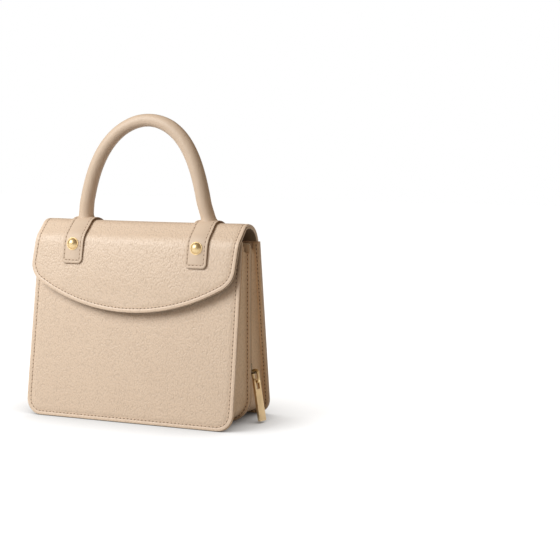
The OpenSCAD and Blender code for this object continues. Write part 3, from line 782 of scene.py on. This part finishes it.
def tab_line(inset, start):
    """A handle tab's edge, flat, about the middle of the tab."""
    half = TAB_W / 2 - inset
    r = TAB_R - min(inset, TAB_R - 1)
    end = TAB_S - inset
    return (start, -half), [
        ("to", end - r, -half, 8), ("round", end - r, r - half, 90, 5),
        ("to", end, half - r, 3), ("round", end - r, half - r, 90, 5), ("to", start, half, 8)]


def sewn_edge(piece, seam):
    """Insets a filled outline over a puffed border and down into a seam's groove.

    The border and the groove get the second finish, a paler leather that paints light on the puffed
    border, and what lies inside them the first.
    """
    groove, depth, puff = 0.8, 0.4, 0.4
    coat(piece, 2)
    coat(piece, 1)
    rings((0.8, puff * 0.6), (0.9, puff * 0.3), (max(0.3, seam - 2.5 - groove / 2), puff * 0.1),
          (0.8, -depth), (groove, 0.0), (0.9, depth * 0.9))
    coat(piece, 0)
    rings((3.5, puff * 0.4))


def plain_edge(piece):
    coat(piece, 2)
    coat(piece, 1)
    rings((1.3, 0.15))
    coat(piece, 0)
    rings((2.0, -0.1))


def side_swell(top, most):
    """A panel widens a little towards its lower corners."""
    def move(co):
        share = min(1.0, (co.y + SWELL_FOOT) / SWELL_RUN) * max(0.0, 1 - co.y / top) ** SWELL_FADE
        co.x += co.x / HALF * abs(co.x / HALF) ** 3 * most * share
        co.x -= SWELL_LEFT * most
        return co
    return move


def bowed(depth):
    """A panel bows, from nothing at its edges to a depth in its middle."""
    def move(co):
        across = max(0.0, 1 - (co.x / (HALF - BOW_EDGE)) ** 2)
        co.z += depth * across * ease(ramp(co.y, *BOW_RUN))
        return co
    return move


def flap_hang(co):
    """The flap hangs a little askew, to the left."""
    co.y -= FLAP_HANG * ease(ramp(co.x, *HANG_RUN))
    return co


def mid_flap(co):
    """1 in the middle of the flap's width, and 0 near its sides."""
    return max(0.0, 1 - (co.y / (FLAP_W / 2 - BULGE_SIDE)) ** 2)


def ridge_dip(co):
    """The flap dips a little in the middle of its ridge, and the tabs go with it."""
    dip = RIDGE_DIP * mid_flap(co) * math.sin(math.pi * ramp(co.x, *RIDGE_RUN))
    co.z += RIDGE_LIFT * (1 - ramp(co.x, *LIFT_OUT) - max(0.0, 1 - co.x / LIFT_IN)) - dip
    return co


def flap_swell(bulge):
    """The flap's skin stands out in its middle."""
    def move(co):
        down = ramp(co.x, *BULGE_IN) * ramp(LIP_S - co.x, *BULGE_OUT)
        co.z += bulge * mid_flap(co) * ease(down)
        return ridge_dip(co)
    return move


def stand(co):
    """Flattens the foot of a placed piece onto the floor."""
    sole = SOLE * MM
    if co.z < sole:
        co.z = sole - (sole - co.z) * SOLE_SHARE
    return co


def flat_panel(name, line, thickness, edge, *swell):
    """A panel drawn flat, with its edge, a middle that swells, and softened rims."""
    piece = draw(name, *line)
    fill(piece)
    edge(piece)
    rule(spread(-HALF, HALF, 20), spread(0, BODY_H, 20))
    done()
    sculpt(piece, *swell)
    thicken(piece, thickness, 1.0, 2)
    soften(piece, 0.95, 4)
    return piece


def line_loop(name, line, matrix):
    """A drawn line set up in its plane, still in millimetres."""
    piece = draw(name, *line)
    done()
    turn(piece, matrix)
    return piece


def wall_loop(name, line, share, near, far, sag, fade):
    """A line a share of the way from one depth to another, drawn in at the sides by a sag."""
    loop = line_loop(name, line, UPRIGHT)
    pinch = sag * math.sin(math.pi * share)

    def move(co):
        z = co.z
        co.y = near(z) + (far(z) - near(z)) * share
        if abs(co.x) > WALL_X:
            co.x -= math.copysign(pinch * fade(z), co.x)
        return co

    sculpt(loop, move)
    return loop


def skin(name, loops):
    """Bridges a row of like lines into one strip of leather."""
    only(*loops)
    bpy.ops.object.join()
    piece = named(bpy.context.object, name)
    count = len(piece.data.vertices) // len(loops)
    for first in range(len(loops) - 1):
        edit(piece)
        pick(piece, "EDGE", lambda edge: (
            all(first <= v.index // count < first + 2 for v in edge.verts)
            and edge.verts[0].index // count == edge.verts[1].index // count))
        bpy.ops.mesh.bridge_edge_loops(number_cuts=0)
        done()
    return piece


# ---------------------------------------------------------------- pieces
class Millimetres:
    """The add-on's sizes, in millimetres."""

    def __init__(self, group):
        self.group = group

    def __getattr__(self, name):
        return getattr(self.group, name) / MM


class Step:
    """A step of the build, which has a button in the sidebar."""

    def execute(self, context):
        self.make(Millimetres(context.scene.bag_sizes))
        return {"FINISHED"}


class BAG_OT_panels(Step, bpy.types.Operator):
    """Front, middle and back panels, each cut from leather with a sewn and softened edge"""
    bl_idname = "bag.panels"
    bl_label = "Panels"

    def make(self, sizes):
        for node, matrix, top, bow, wide in (
                ("front_panel", FRONT, up_v(0, BODY_H), FRONT_BOW, sizes.panel_swell),
                ("back_panel", BACK, up_v(0, BACK_H), -sizes.back_hollow, 0.0)):
            piece = flat_panel(node + "_leather", tray_line(0, top), PANEL_T,
                               lambda flat: sewn_edge(flat, sizes.seam_inset),
                               bowed(bow), side_swell(top, wide))
            settle(piece, matrix, "body", "leather", ("leather", "border", "edge"), node,
                   standing=True)
        line = closed_line(HALF, 0, DIVIDER_H + DIVIDER_RAISE, DIVIDER_CORNER, DIVIDER_TOP_R, 5,
                           turns=10)
        piece = flat_panel("divider_leather", line, DIVIDER_Y[1] - DIVIDER_Y[0], plain_edge)
        # The middle panel has lighter gusset leather on its faces, a border paler still that paints
        # light, and a brown rim that paints the shade of the gap behind it.
        settle(piece, upright_at(DIVIDER_Y[0]), "body", "leather",
               ("gusset", "pale_edge", "brown_edge"), "divider_panel")


class BAG_OT_gussets(Step, bpy.types.Operator):
    """Side walls: a U of leather for the front pocket and a ring of leather for the rear one"""
    bl_idname = "bag.gussets"
    bl_label = "Gussets"

    def make(self, sizes):
        mid = GUSSET_T / 2
        inner = -PANEL_T - mid
        wall = FLANGE + mid
        fold = sizes.gusset_fold + mid
        top, low_top = up_v(inner, GUSSET_TOP), GUSSET_TOP - GUSSET_DIP
        rear_y = DIVIDER_Y[0] - mid
        panel, divider = lifted(FRONT, inner), upright_at(rear_y)
        loops = [line_loop("a", tray_line(0, top), panel),
                 line_loop("b", tray_line(wall, top), panel)]
        for i in range(1, WALL_STEPS):
            share = i / WALL_STEPS
            corner = CORNER + (DIVIDER_CORNER - CORNER) * share
            line = tray_line(wall - (wall - fold) * share ** 2, GUSSET_TOP - GUSSET_DIP * share,
                             corner)
            loops.append(wall_loop(
                "c%d" % i, line, share, lambda z: front_y(inner, z), lambda z: rear_y,
                sizes.gusset_sag, lambda z: ramp(z, *WALL_SAG)))
        loops += [line_loop("d", tray_line(fold, low_top, DIVIDER_CORNER), divider),
                  line_loop("e", tray_line(sizes.flange_inset, low_top, DIVIDER_CORNER), divider)]
        self.sew_up(skin("front_gusset_leather", loops), "front_gusset")

        loops = []
        for i in range(WALL_STEPS + 1):
            share = i / WALL_STEPS
            corner = DIVIDER_CORNER + (CORNER - DIVIDER_CORNER) * share
            loop = wall_loop(
                "r%d" % i, ring_line(wall, corner), share, self.front_edge,
                lambda z: -front_y(inner, z), sizes.rear_sag,
                lambda z: ramp(z, *WALL_SAG) * ramp(z, *RING_SAG))
            edit(loop)
            everything()
            bpy.ops.mesh.edge_face_add()
            bpy.ops.mesh.delete(type="ONLY_FACE")
            done()
            loops.append(loop)
        self.sew_up(skin("rear_gusset_leather", loops), "rear_gusset")
        for name, matrix, high, corner in (
                ("rear_gusset_back_flange", lifted(BACK, inner), up_v(inner, FLANGE_TOP), CORNER),
                ("rear_gusset_front_flange", upright_at(DIVIDER_Y[1] + mid), ZIP_END - 2,
                 DIVIDER_CORNER)):
            self.sew_up(skin(name, [
                line_loop("f", tray_line(0.6, high, corner), matrix),
                line_loop("g", tray_line(wall + mid - 0.05, high, corner), matrix)]))

    def front_edge(self, z):
        """Place of the rear gusset's front edge at a height."""
        low = DIVIDER_Y[1] + GUSSET_T / 2
        return low + (REAR_EDGE - low) * ease(ramp(z, *EDGE_RUN))

    def sew_up(self, piece, *nodes):
        tidy(piece)
        thicken(piece, GUSSET_T, 0.0)
        soften(piece, 0.45, 2, 60)
        settle(piece, FLAT, "body", "leather", ("gusset",), *nodes, standing=True)


class BAG_OT_linings(Step, bpy.types.Operator):
    """Linings: woven cloth on the inner faces of the two pockets, and their base boards"""
    bl_idname = "bag.linings"
    bl_label = "Linings"

    def make(self, sizes):
        for name, matrix, top in (
                ("front_panel", lifted(FRONT, -PANEL_T - LINING_OFF), up_v(-3, LINING_TOP)),
                ("divider_front", upright_at(DIVIDER_Y[0] - LINING_OFF), LINING_TOP),
                ("divider_rear", upright_at(DIVIDER_Y[1] + LINING_OFF), LINING_TOP),
                ("back_panel", lifted(BACK, -PANEL_T - LINING_OFF), up_v(-3, BACK_LINING_TOP))):
            low, corner = LINING_INSET + LINING_LIFT, CORNER
            if "divider" in name:
                low, corner = LINING_INSET, DIVIDER_CORNER
            side = HALF - (REAR_LINING_INSET if "rear" in name else LINING_INSET)
            piece = draw(name + "_lining_cloth",
                         *u_line(side, low, top, corner - LINING_INSET, turns=6))
            fill(piece)
            rings((2.5, 0.0))
            rule(spread(-side, side, 8), spread(low, top, 12))
            done()

            def ripple(co):
                edge = min(1.0, (side - abs(co.x)) / RIPPLE_SIDE)
                edge *= min(1.0, (top - co.y) / RIPPLE_TOP)
                wave = math.sin(co.x * 0.21 + co.y * 0.02) * math.cos(co.y * 0.06 + 0.5)
                co.z += RIPPLE * edge * wave
                return co

            sculpt(piece, ripple)
            thicken(piece, LINING_T, 0.0)
            settle(piece, matrix, "body", "pocket_lining", ("lining",), name + "_lining")
            2 * side * MM
            (top - low) * MM
        for node in ("front_base_board", "rear_base_board"):
            piece = merged_copy(node, node + "_card")
            sculpt(piece, lambda co: Vector((co.x * BOARD_SHARE, co.y, co.z)))
            soften(piece, 0.4, 2, 60)
            settle(piece, FLAT, "body", "board", ("board",), node)


class BAG_OT_zip(Step, bpy.types.Operator):
    """Zip: its tapes, its teeth and the leather around its front edge"""
    bl_idname = "bag.zip"
    bl_label = "Zip"

    def make(self, sizes):
        for node, y0, y1 in TAPES:
            piece = self.band(node + "_cloth", ZIP_INSET, TAPE_END, y0, y1, 2)
            thicken(piece, TAPE_T, 0.0)
            settle(piece, FLAT, "body", "zip_tape", ("tape",), node)
        facing = self.band("zip_facing_leather", FLANGE + GUSSET_T / 2, ZIP_END + 0.3,
                           DIVIDER_Y[1], DIVIDER_Y[1] + FACING, 3)
        thicken(facing, GUSSET_T, 0.0)
        soften(facing, 0.5, 3, 60)
        settle(facing, FLAT, "body", "leather", ("gusset",), "zip_facing")
        for row in TEETH:
            self.teeth(*row)
        dress("zip_stops", "teeth")

    def band(self, name, inset, low, y0, y1, parts):
        """A band of cloth or leather round the zip's path, from one depth to another."""
        piece = line_loop(name, arch_line(inset, low, 14, 6, 12), upright_at(y0))
        edit(piece)
        everything()
        pull((0, (y1 - y0) / parts, 0), parts)
        done()
        return piece

    def teeth(self, node, y, side, lag):
        """A row of teeth at a depth, copied from one tooth that lags by a share of a step."""
        tooth = primitive(node + "_row", bpy.ops.mesh.primitive_cube_add, size=1)
        pick(tooth, "FACE", lambda f: f.normal.z * side > 0.9)
        bpy.ops.mesh.inset(thickness=0.14, depth=0.25)
        done()
        line = guide(node + "_line", *arch_line(ZIP_INSET, TEETH_END, 10, 10, 10))
        length = guide_length(line)
        count = round(length / TOOTH_PITCH)
        step = length / count
        first = (0.5 + lag) * step * 0.98
        sculpt(tooth, lambda co: Vector((co.x * TOOTH_L + first, co.y * TOOTH_H, co.z * TOOTH_W)))
        repeat(tooth, count - 1, step)
        bend(tooth, line)
        settle(tooth, upright_at(y), "body", "zip_teeth", ("teeth",), node)


class BAG_OT_flap(Step, bpy.types.Operator):
    """Flap: a skin of leather over a dark lining, bent over the top in one arc, and its hinge"""
    bl_idname = "bag.flap"
    bl_label = "Flap"

    def make(self, sizes):
        line = side_view_line()
        cells = spread(0, BEND_LEN, 1.5) + [BEND_LEN] + spread(BEND_LEN, LIP_S, 6)
        for name, seam, thickness, slot, finishes, nodes in (
                ("flap_outer_leather", True, SKIN_T, "leather", ("leather", "border", "edge"),
                 ("flap_leather", "flap_stiffener")),
                ("flap_inner_leather", False, FLAP_T - SKIN_T, "flap_lining_leather",
                 ("inside", "inside", "edge"), ("flap_lining",))):
            piece = draw(name, *flap_line(0))
            fill(piece)
            if seam:
                sewn_edge(piece, sizes.flap_seam_inset)
            else:
                coat(piece, 2)
                coat(piece, 0)
                rings((1.0, 0), (3.0, 0))
            rule(cells, spread(-FLAP_W / 2, FLAP_W / 2, 20))
            done()
            sculpt(piece, flap_hang, flap_swell(sizes.flap_bulge if seam else 0.0))
            thicken(piece, thickness, 1.0, 2)
            sculpt(piece, shift(0, 0, 0 if seam else -SKIN_T))
            soften(piece, 0.7, 3)
            wrap(piece, line)
            tidy(piece)
            finish_piece(piece, "flap", slot, finishes, *nodes)
        self.hinge()

    def hinge(self):
        """The strip sewn inside the back panel, folded over its top and onto the flap."""
        piece = dot("hinge_strip_leather", (-HINGE_REACH, *HINGE_PATH[0]))
        for (y0, z0), (y1, z1) in zip(HINGE_PATH, HINGE_PATH[1:]):
            pull((0, y1 - y0, z1 - z0))
        everything()
        pull((HINGE_REACH / 10, 0, 0), 20)
        done()
        modify(piece, "SUBSURF", levels=1, render_levels=1)
        thicken(piece, HINGE_T, 0.0)
        soften(piece, 0.3, 2, 60)
        place(piece, FLAT)
        tidy(piece)
        piece.data.materials.clear()
        piece.data.materials.append(FINISHES["leather"])
        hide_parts("flap_tail")
        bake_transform(piece)


class BAG_OT_handle(Step, bpy.types.Operator):
    """Handle: two sewn tabs over the flap's ridge and a round bow of leather standing on them"""
    bl_idname = "bag.handle"
    bl_label = "Handle"

    def make(self, sizes):
        line = side_view_line()
        for side, name in ((-1, "handle_tab_left"), (1, "handle_tab_right")):
            piece = draw(name + "_leather", *tab_line(0, TAB_START))
            fill(piece)
            coat(piece, 1)
            coat(piece, 0)
            rings((0.6, 0.22), (0.8, 0.06), (0.65, -0.06), (0.45, -0.22), (0.7, 0.0), (0.6, 0.22))
            rule(spread(TAB_START, TAB_S, 1.5), [])
            done()
            thicken(piece, TAB_OUT, 1.0, 1)
            soften(piece, 0.5, 3)
            sculpt(piece, shift(0, side * TAB_X + TAB_SHIFT, TAB_OUT), ridge_dip)
            wrap(piece, line)
            tidy(piece)
            # The tab's rim takes a dark brown that paints the shade along its side.
            finish_piece(piece, "flap", "leather", ("tab", "dark_edge"), name)
        self.bow()

    def bow(self):
        """The handle's tube: round, bent along half an ellipse and seated on the tabs."""
        points = [Vector((TAB_X * math.cos(t), HANDLE_Z + HANDLE_RISE * math.sin(t)))
                  for t in (math.pi - math.pi * i / 360 for i in range(361))]
        length = sum((b - a).length for a, b in zip(points, points[1:]))
        line = self.half_ellipse()
        piece = primitive("handle_bow_leather", bpy.ops.mesh.primitive_cylinder_add, vertices=32,
                          radius=1, depth=1, end_fill_type="NOTHING")
        pick(piece, "EDGE", lambda e: abs(e.verts[0].co.z - e.verts[1].co.z) > 0.5)
        bpy.ops.mesh.subdivide(number_cuts=96)
        done()

        def swell(co):
            share = co.z + 0.5
            near = min(share, 1 - share) * length
            r = HANDLE_R + HANDLE_GROW * abs(math.cos(math.pi * share))
            r += FLARE * max(0.0, 1 - near / FLARE_H) ** 2
            return Vector((share * length, co.x * r, co.y * r))

        def seat(co):
            high = co.y - HANDLE_Z
            if high < SEAT_H:
                depth = HANDLE_Y + co.z
                tab = ARCH_Z + math.sqrt((ARCH_R + TAB_T) ** 2 - (depth - ARCH_Y) ** 2)
                co.y += (tab - HANDLE_Z) * min(1.0, (1 - high / SEAT_H)) ** 2
            return co

        def gather(co):
            up = ramp(co.y, HANDLE_Z, HANDLE_Z + HANDLE_RISE)
            lift = math.sin(math.pi * up ** 0.8)
            low = min(1.0, up * 6)
            co.x += (0.1 - BOW_NARROW * co.x) * lift + BOW_TOP_X * up ** 3 - BOW_LEFT * low
            co.x += math.copysign(BOW_SPREAD * max(0.0, 1 - up * 5), co.x)
            co.z += BOW_BACK * low - BOW_FRONT * up * up
            return co

        sculpt(piece, swell)
        bend(piece, line)
        sculpt(piece, seat, gather)
        edit(piece)
        pick(piece, "EDGE", lambda e: len(e.link_faces) == 1)
        bpy.ops.mesh.edge_face_add()
        done()
        place(piece, upright_at(HANDLE_Y))
        tidy(piece, 50)
        finish_piece(piece, "flap", "leather", ("handle",), "handle_wrap", "handle_core")

    def half_ellipse(self):
        piece = primitive("handle_line", bpy.ops.mesh.primitive_circle_add, vertices=180,
                          radius=1, location=(0, 0, 0))
        pick(piece, "VERT", lambda v: v.co.y < -0.001)
        bpy.ops.mesh.delete(type="VERT")
        everything()
        bpy.ops.transform.resize(value=(TAB_X, HANDLE_RISE, 1), center_override=(0, 0, 0))
        bpy.ops.transform.translate(value=(0, HANDLE_Z, 0))
        return as_line(piece, (-TAB_X, HANDLE_Z))


class BAG_OT_seams(Step, bpy.types.Operator):
    """Seams: every row of stitches, copied from one stitch along the drawn lines"""
    bl_idname = "bag.seams"
    bl_label = "Seams"

    def make(self, sizes):
        unit = self.one_stitch(sizes)
        seam = sizes.seam_inset
        swell = side_swell(up_v(0, BODY_H), sizes.panel_swell)
        flange = lifted(BACK, -PANEL_T - GUSSET_T) @ Matrix.Rotation(math.pi, 4, "Y")
        for name, matrix, line, out, moves in (
                ("front_panel", FRONT, tray_line(seam, up_v(0, BODY_H - SEAM_END)), SEAM_BED,
                 [swell]),
                ("back_panel", BACK, tray_line(seam, up_v(0, BACK_H - SEAM_END)), SEAM_BED, []),
                ("divider_front", upright_at(DIVIDER_Y[0] - GUSSET_T),
                 tray_line(DIVIDER_SEAM, GUSSET_TOP - GUSSET_DIP - 2, DIVIDER_CORNER), SEAM_LIFT,
                 []),
                ("back_flange", flange, tray_line(FLANGE_SEAM, up_v(0, FLANGE_TOP - 2)),
                 SEAM_LIFT, [])):
            row = self.row(name, unit, sizes, line, out, *moves)
            place(row, matrix)
            self.sewn(row, "body")
        view_line = side_view_line()
        rows = [("flap", flap_line(sizes.flap_seam_inset, SEAM_END), SEAM_BED,
                 (flap_hang, flap_swell(sizes.flap_bulge)))]
        rows += [(name, tab_line(TAB_SEAM, TAB_START + 2), TAB_OUT + 0.12,
                  (shift(0, side * TAB_X + TAB_SHIFT, 0), ridge_dip))
                 for side, name in ((-1, "handle_tab_left"), (1, "handle_tab_right"))]
        for name, line, out, moves in rows:
            row = self.row(name, unit, sizes, line, out, *moves)
            wrap(row, view_line)
            self.sewn(row, "flap")
        bpy.data.objects.remove(unit)

    def one_stitch(self, sizes):
        """One stitch of thread, with the needle hole at its end: a shallow dent whose dark colour
        paints the hole's shade.
        """
        length, width, pitch = sizes.stitch_length, sizes.stitch_width, sizes.stitch_pitch
        bpy.ops.object.select_all(action="DESELECT")
        bpy.ops.mesh.primitive_cylinder_add(vertices=8, radius=0.5, depth=0.62,
                                            rotation=(0, math.pi / 2, 0))
        bpy.ops.object.transform_apply(location=False, rotation=True, scale=False)
        piece = named(bpy.context.object, "one_stitch")
        edit(piece)
        pick(piece, "FACE", lambda f: abs(f.normal.x) > 0.9)
        bpy.ops.mesh.inset(thickness=0.2, depth=0.14, use_individual=True)
        done()
        sculpt(piece, lambda co: Vector((co.x * length, co.y * width, co.z * width * 0.75)))
        # The dent's dark finish paints the shade inside the needle hole.
        hole = primitive("hole", bpy.ops.mesh.primitive_circle_add, vertices=8, radius=0.5,
                         fill_type="NGON")
        bpy.ops.mesh.inset(thickness=0.12, depth=-0.07)
        done()
        sculpt(hole, lambda co: Vector((co.x * (pitch - length + 0.3) + pitch / 2,
                                        co.y * sizes.hole_width, co.z)))
        piece.data.materials.append(FINISHES["thread"])
        piece.data.materials.append(FINISHES["hole"])
        hole.data.materials.append(FINISHES["hole"])
        only(piece, hole)
        bpy.ops.object.join()
        return bpy.context.object

    def row(self, name, unit, sizes, path, out, *moves):
        """Stitches along a path, out from its plane, and then moved as the leather is."""
        line = guide(name + "_line", *path)
        length = guide_length(line)
        count = round(length / sizes.stitch_pitch)
        row = copy_of(unit, name + "_seam")
        sculpt(row, shift(length / count / 2, 0, out))
        repeat(row, count, length / count)
        bend(row, line)
        sculpt(row, *moves)
        return row

    def sewn(self, row, body):
        smooth(row, 60)
        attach(row, body)


class BAG_OT_metal(Step, bpy.types.Operator):
    """Metal: rivets, snap, slider, loop and bar, with their edges softened and plated"""
    bl_idname = "bag.metal"
    bl_label = "Metal"

    def make(self, sizes):
        brass, out = "brass_fittings", slid(0, SNAP_OUT)
        for node, name, body, slot, width, matrix, angle, finish in (
                ("zip_pull_bar", "pull_bar_gold", "pull_bar", brass, 0.45, FLAT, 40, "satin"),
                # The slider's dark finish paints the shade of the gap it sits in.
                ("zip_slider", "slider_gold", "zip_slider", brass, 0.35, FLAT, 40, "slider"),
                ("zip_pull_loop", "pull_loop_gold", "pull_loop", brass, 0, FLAT, 40, "wire"),
                ("rivets", "rivets_brass", "flap", brass, 0, slid(TAB_SHIFT, RIVET_OUT), 35,
                 "brass"),
                ("snap_male", "snap_male_on_flap", "flap", brass, 0, out, 35, "brass"),
                ("snap_male_washer", "snap_male_washer_on_flap", "flap", "hidden_steel", 0, out,
                 35, "steel")):
            piece = merged_copy(node, name)
            if width:
                soften(piece, width, 3, 40)
            if node == "zip_pull_loop":
                modify(piece, "DISPLACE", strength=0.2, mid_level=0.0)
            place(piece, matrix)
            smooth(piece, angle)
            finish_piece(piece, body, slot, (finish,), node)
        for node, finish in (("rivet_caps", "steel"), ("snap_female", "brass"),
                             ("snap_female_washer", "steel")):
            dress(node, finish)


class BAG_OT_stage(Step, bpy.types.Operator):
    """Stage: a white floor, soft studio light and the camera"""
    bl_idname = "bag.stage"
    bl_label = "Stage"

    def make(self, sizes):
        scene = bpy.context.scene
        colours = scene.bag_colours
        floor = primitive("studio_floor", bpy.ops.mesh.primitive_plane_add, size=8,
                          location=(0, 0, 0))
        bpy.ops.mesh.subdivide(number_cuts=3)
        done()
        floor.data.materials.append(self.white_floor())

        f = Finish(bpy.data.worlds.new("studio"), "ShaderNodeOutputWorld")
        ambient, white = (f.node("ShaderNodeBackground", {}, {"Color": colour, "Strength": power})
                          for colour, power in (((1.0, 0.79, 0.57, 1), colours.ambient),
                                                ((1, 1, 1, 1), 1.0)))
        scene.world = f.show(f.node("ShaderNodeMixShader", {},
                                    {0: f.ray("Camera"), 1: ambient, 2: white}))
        self.lamp("key", (-0.72, -1.0, 1.06), (0, 0, 0.12), 0.9, colours.key, (0.95, 0.985, 1.0))
        self.lamp("fill", (1.05, 0.75, 0.42), (0, 0, 0.08), 0.6, colours.fill, (1.0, 0.92, 0.80))

        camera = bpy.data.cameras.new("photo_camera")
        camera.lens = LENS
        camera.sensor_width = SENSOR
        camera.clip_start = 0.01
        eye = bpy.data.objects.new("photo_camera", camera)
        eye.location = EYE
        eye.rotation_euler = [math.radians(angle) for angle in EYE_TURN]
        scene.collection.objects.link(eye)
        scene.camera = eye
        scene.view_settings.view_transform = "Standard"

    def white_floor(self):
        """White to the camera but for the bag's shadow, and grey to the light that it throws. Near
        the bag, ambient occlusion dims the camera's glow as a painted contact shadow.
        """
        f, at = material("white_floor")
        seen = f.ray("Camera") + f.ray("Glossy") + f.ray("Transmission")
        tone = f.mix(f.noise(at, 40), (0.44, 0.44, 0.44, 1), (0.46, 0.46, 0.46, 1))
        plain = f.node("ShaderNodeBsdfDiffuse", {}, {"Color": tone})
        dim = f.node("ShaderNodeBsdfDiffuse", {}, {"Color": (0.34, 0.34, 0.345, 1)})
        # Ambient occlusion darkens the glow near the bag: a painted contact shadow, on top of the
        # real shadow in the dim diffuse part.
        open_to_air = f.node("ShaderNodeAmbientOcclusion", {"samples": 16}, {"Distance": 0.09},
                             out="AO")
        glow = f.node("ShaderNodeEmission", {}, {"Color": open_to_air ** 1.3, "Strength": 0.96})
        both = f.node("ShaderNodeAddShader", {}, {0: dim, 1: glow})
        return f.show(f.node("ShaderNodeMixShader", {}, {0: seen.least(1.0), 1: plain, 2: both}))

    def lamp(self, name, stands, target, size, power, colour):
        data = bpy.data.lights.new(name, "AREA")
        data.shape = "SQUARE"
        data.size = size
        data.energy = power
        data.color = colour
        lamp = bpy.data.objects.new(name, data)
        lamp.location = stands
        aim = Vector(target) - Vector(stands)
        lamp.rotation_euler = aim.to_track_quat("-Z", "Y").to_euler()
        bpy.context.scene.collection.objects.link(lamp)


class BAG_OT_finishes(Step, bpy.types.Operator):
    """Finishes: every leather, cloth, thread and metal of the bag"""
    bl_idname = "bag.finishes"
    bl_label = "Finishes"

    def make(self, sizes):
        make_finishes(bpy.context.scene.bag_colours)


# ---------------------------------------------------------------- the add-on
def length_of(name, description, default):
    return bpy.props.FloatProperty(name=name, description=description, default=default * MM,
                                   min=0.0, precision=5, unit="LENGTH", subtype="DISTANCE")


def colour_of(name, description, default):
    return bpy.props.FloatVectorProperty(name=name, description=description, default=default,
                                         min=0.0, max=1.0, size=3, subtype="COLOR")


def light_of(name, description, default, unit="NONE"):
    return bpy.props.FloatProperty(name=name, description=description, default=default, min=0.0,
                                   unit=unit)


class BagSizes(bpy.types.PropertyGroup):
    seam_inset: length_of("Seam inset", "From a panel's edge to its seam", 4.2)
    flap_seam_inset: length_of("Flap seam inset", "From the flap's edge to its seam", 3.8)
    panel_swell: length_of("Panel swell", "How far the front panel widens at its foot", 1.7)
    gusset_fold: length_of("Gusset fold", "From the middle panel's edge to the gusset's fold", 3.3)
    flange_inset: length_of("Flange inset", "From the middle panel's edge to the gusset", 1.3)
    stitch_pitch: length_of("Stitch pitch", "From one needle hole to the next", 3.9)
    stitch_length: length_of("Stitch length", "Thread that shows between two holes", 2.3)
    stitch_width: length_of("Thread width", "Width of the sewing thread", 0.75)
    hole_width: length_of("Hole width", "Width of the dent round a needle hole", 1.0)
    gusset_sag: length_of("Gusset sag", "How far the side walls fall inwards", 1.0)
    rear_sag: length_of("Rear gusset sag", "How far the rear side walls fall inwards", 2.6)
    flap_bulge: length_of("Flap bulge", "How far the flap stands out in its middle", 1.2)
    back_hollow: length_of("Back hollow", "How far the back panel falls in", 1.2)


class BagColours(bpy.types.PropertyGroup):
    leather: colour_of("Leather", "Colour of the pebbled leather", (0.80, 0.62, 0.47))
    # Edge paint, made paler than the leather to paint the light on the rolled edges.
    edge_paint: colour_of("Edge paint", "Colour of the painted leather edges", (0.86, 0.68, 0.52))
    flap_inside: colour_of("Flap inside", "Colour of the flap's inner leather",
                           (0.20, 0.135, 0.075))
    lining: colour_of("Lining", "Colour of the pockets' cloth", (0.22, 0.16, 0.10))
    thread: colour_of("Thread", "Colour of the sewing thread", (0.78, 0.62, 0.48))
    # Dark colour that paints the shade inside the needle holes.
    needle_hole: colour_of("Needle holes", "Colour of the shaded holes between stitches",
                           (0.38, 0.25, 0.165))
    zip_tape: colour_of("Zip tape", "Colour of the zip's cloth tape", (0.62, 0.48, 0.36))
    brass: colour_of("Brass", "Colour of rivets, teeth and wire", (0.82, 0.63, 0.35))
    bar: colour_of("Pull bar", "Colour of the satin bar", (0.86, 0.67, 0.41))
    grain_size: length_of("Grain size", "Width of one pebble of the leather", 1.65)
    grain_depth: length_of("Grain depth", "Height of the leather's pebbles", 0.24)
    ambient: light_of("Ambient", "Strength of the light all round", 0.25)
    key: light_of("Key light", "Power of the main lamp", 23.0, "POWER")
    fill: light_of("Fill light", "Power of the second lamp", 0.8, "POWER")


STEPS = (BAG_OT_finishes, BAG_OT_panels, BAG_OT_gussets, BAG_OT_linings, BAG_OT_zip,
         BAG_OT_flap, BAG_OT_handle, BAG_OT_seams, BAG_OT_metal, BAG_OT_stage)


class VIEW3D_PT_bag(bpy.types.Panel):
    bl_label = "Top Handle Bag"
    bl_idname = "VIEW3D_PT_bag"
    bl_space_type = "VIEW_3D"
    bl_region_type = "UI"
    bl_category = "Bag"

    def draw(self, context):
        column = self.layout.column()
        for step in STEPS:
            column.operator(step.bl_idname)
        for group in (context.scene.bag_sizes, context.scene.bag_colours):
            box = self.layout.box()
            for name in group.__annotations__:
                box.prop(group, name)


CLASSES = (BagSizes, BagColours, *STEPS, VIEW3D_PT_bag)


def register():
    for item in CLASSES:
        bpy.utils.register_class(item)
    bpy.types.Scene.bag_sizes = bpy.props.PointerProperty(type=BagSizes)
    bpy.types.Scene.bag_colours = bpy.props.PointerProperty(type=BagColours)


def unregister():
    del bpy.types.Scene.bag_sizes
    del bpy.types.Scene.bag_colours
    for item in reversed(CLASSES):
        bpy.utils.unregister_class(item)


def main():
    register()
    for step in STEPS:
        group, name = step.bl_idname.split(".")
        getattr(getattr(bpy.ops, group), name)()
    for item in [o for o in bpy.context.scene.objects if o.type == "CURVE"]:
        bpy.data.objects.remove(item)


if __name__ == "__main__":
    main()
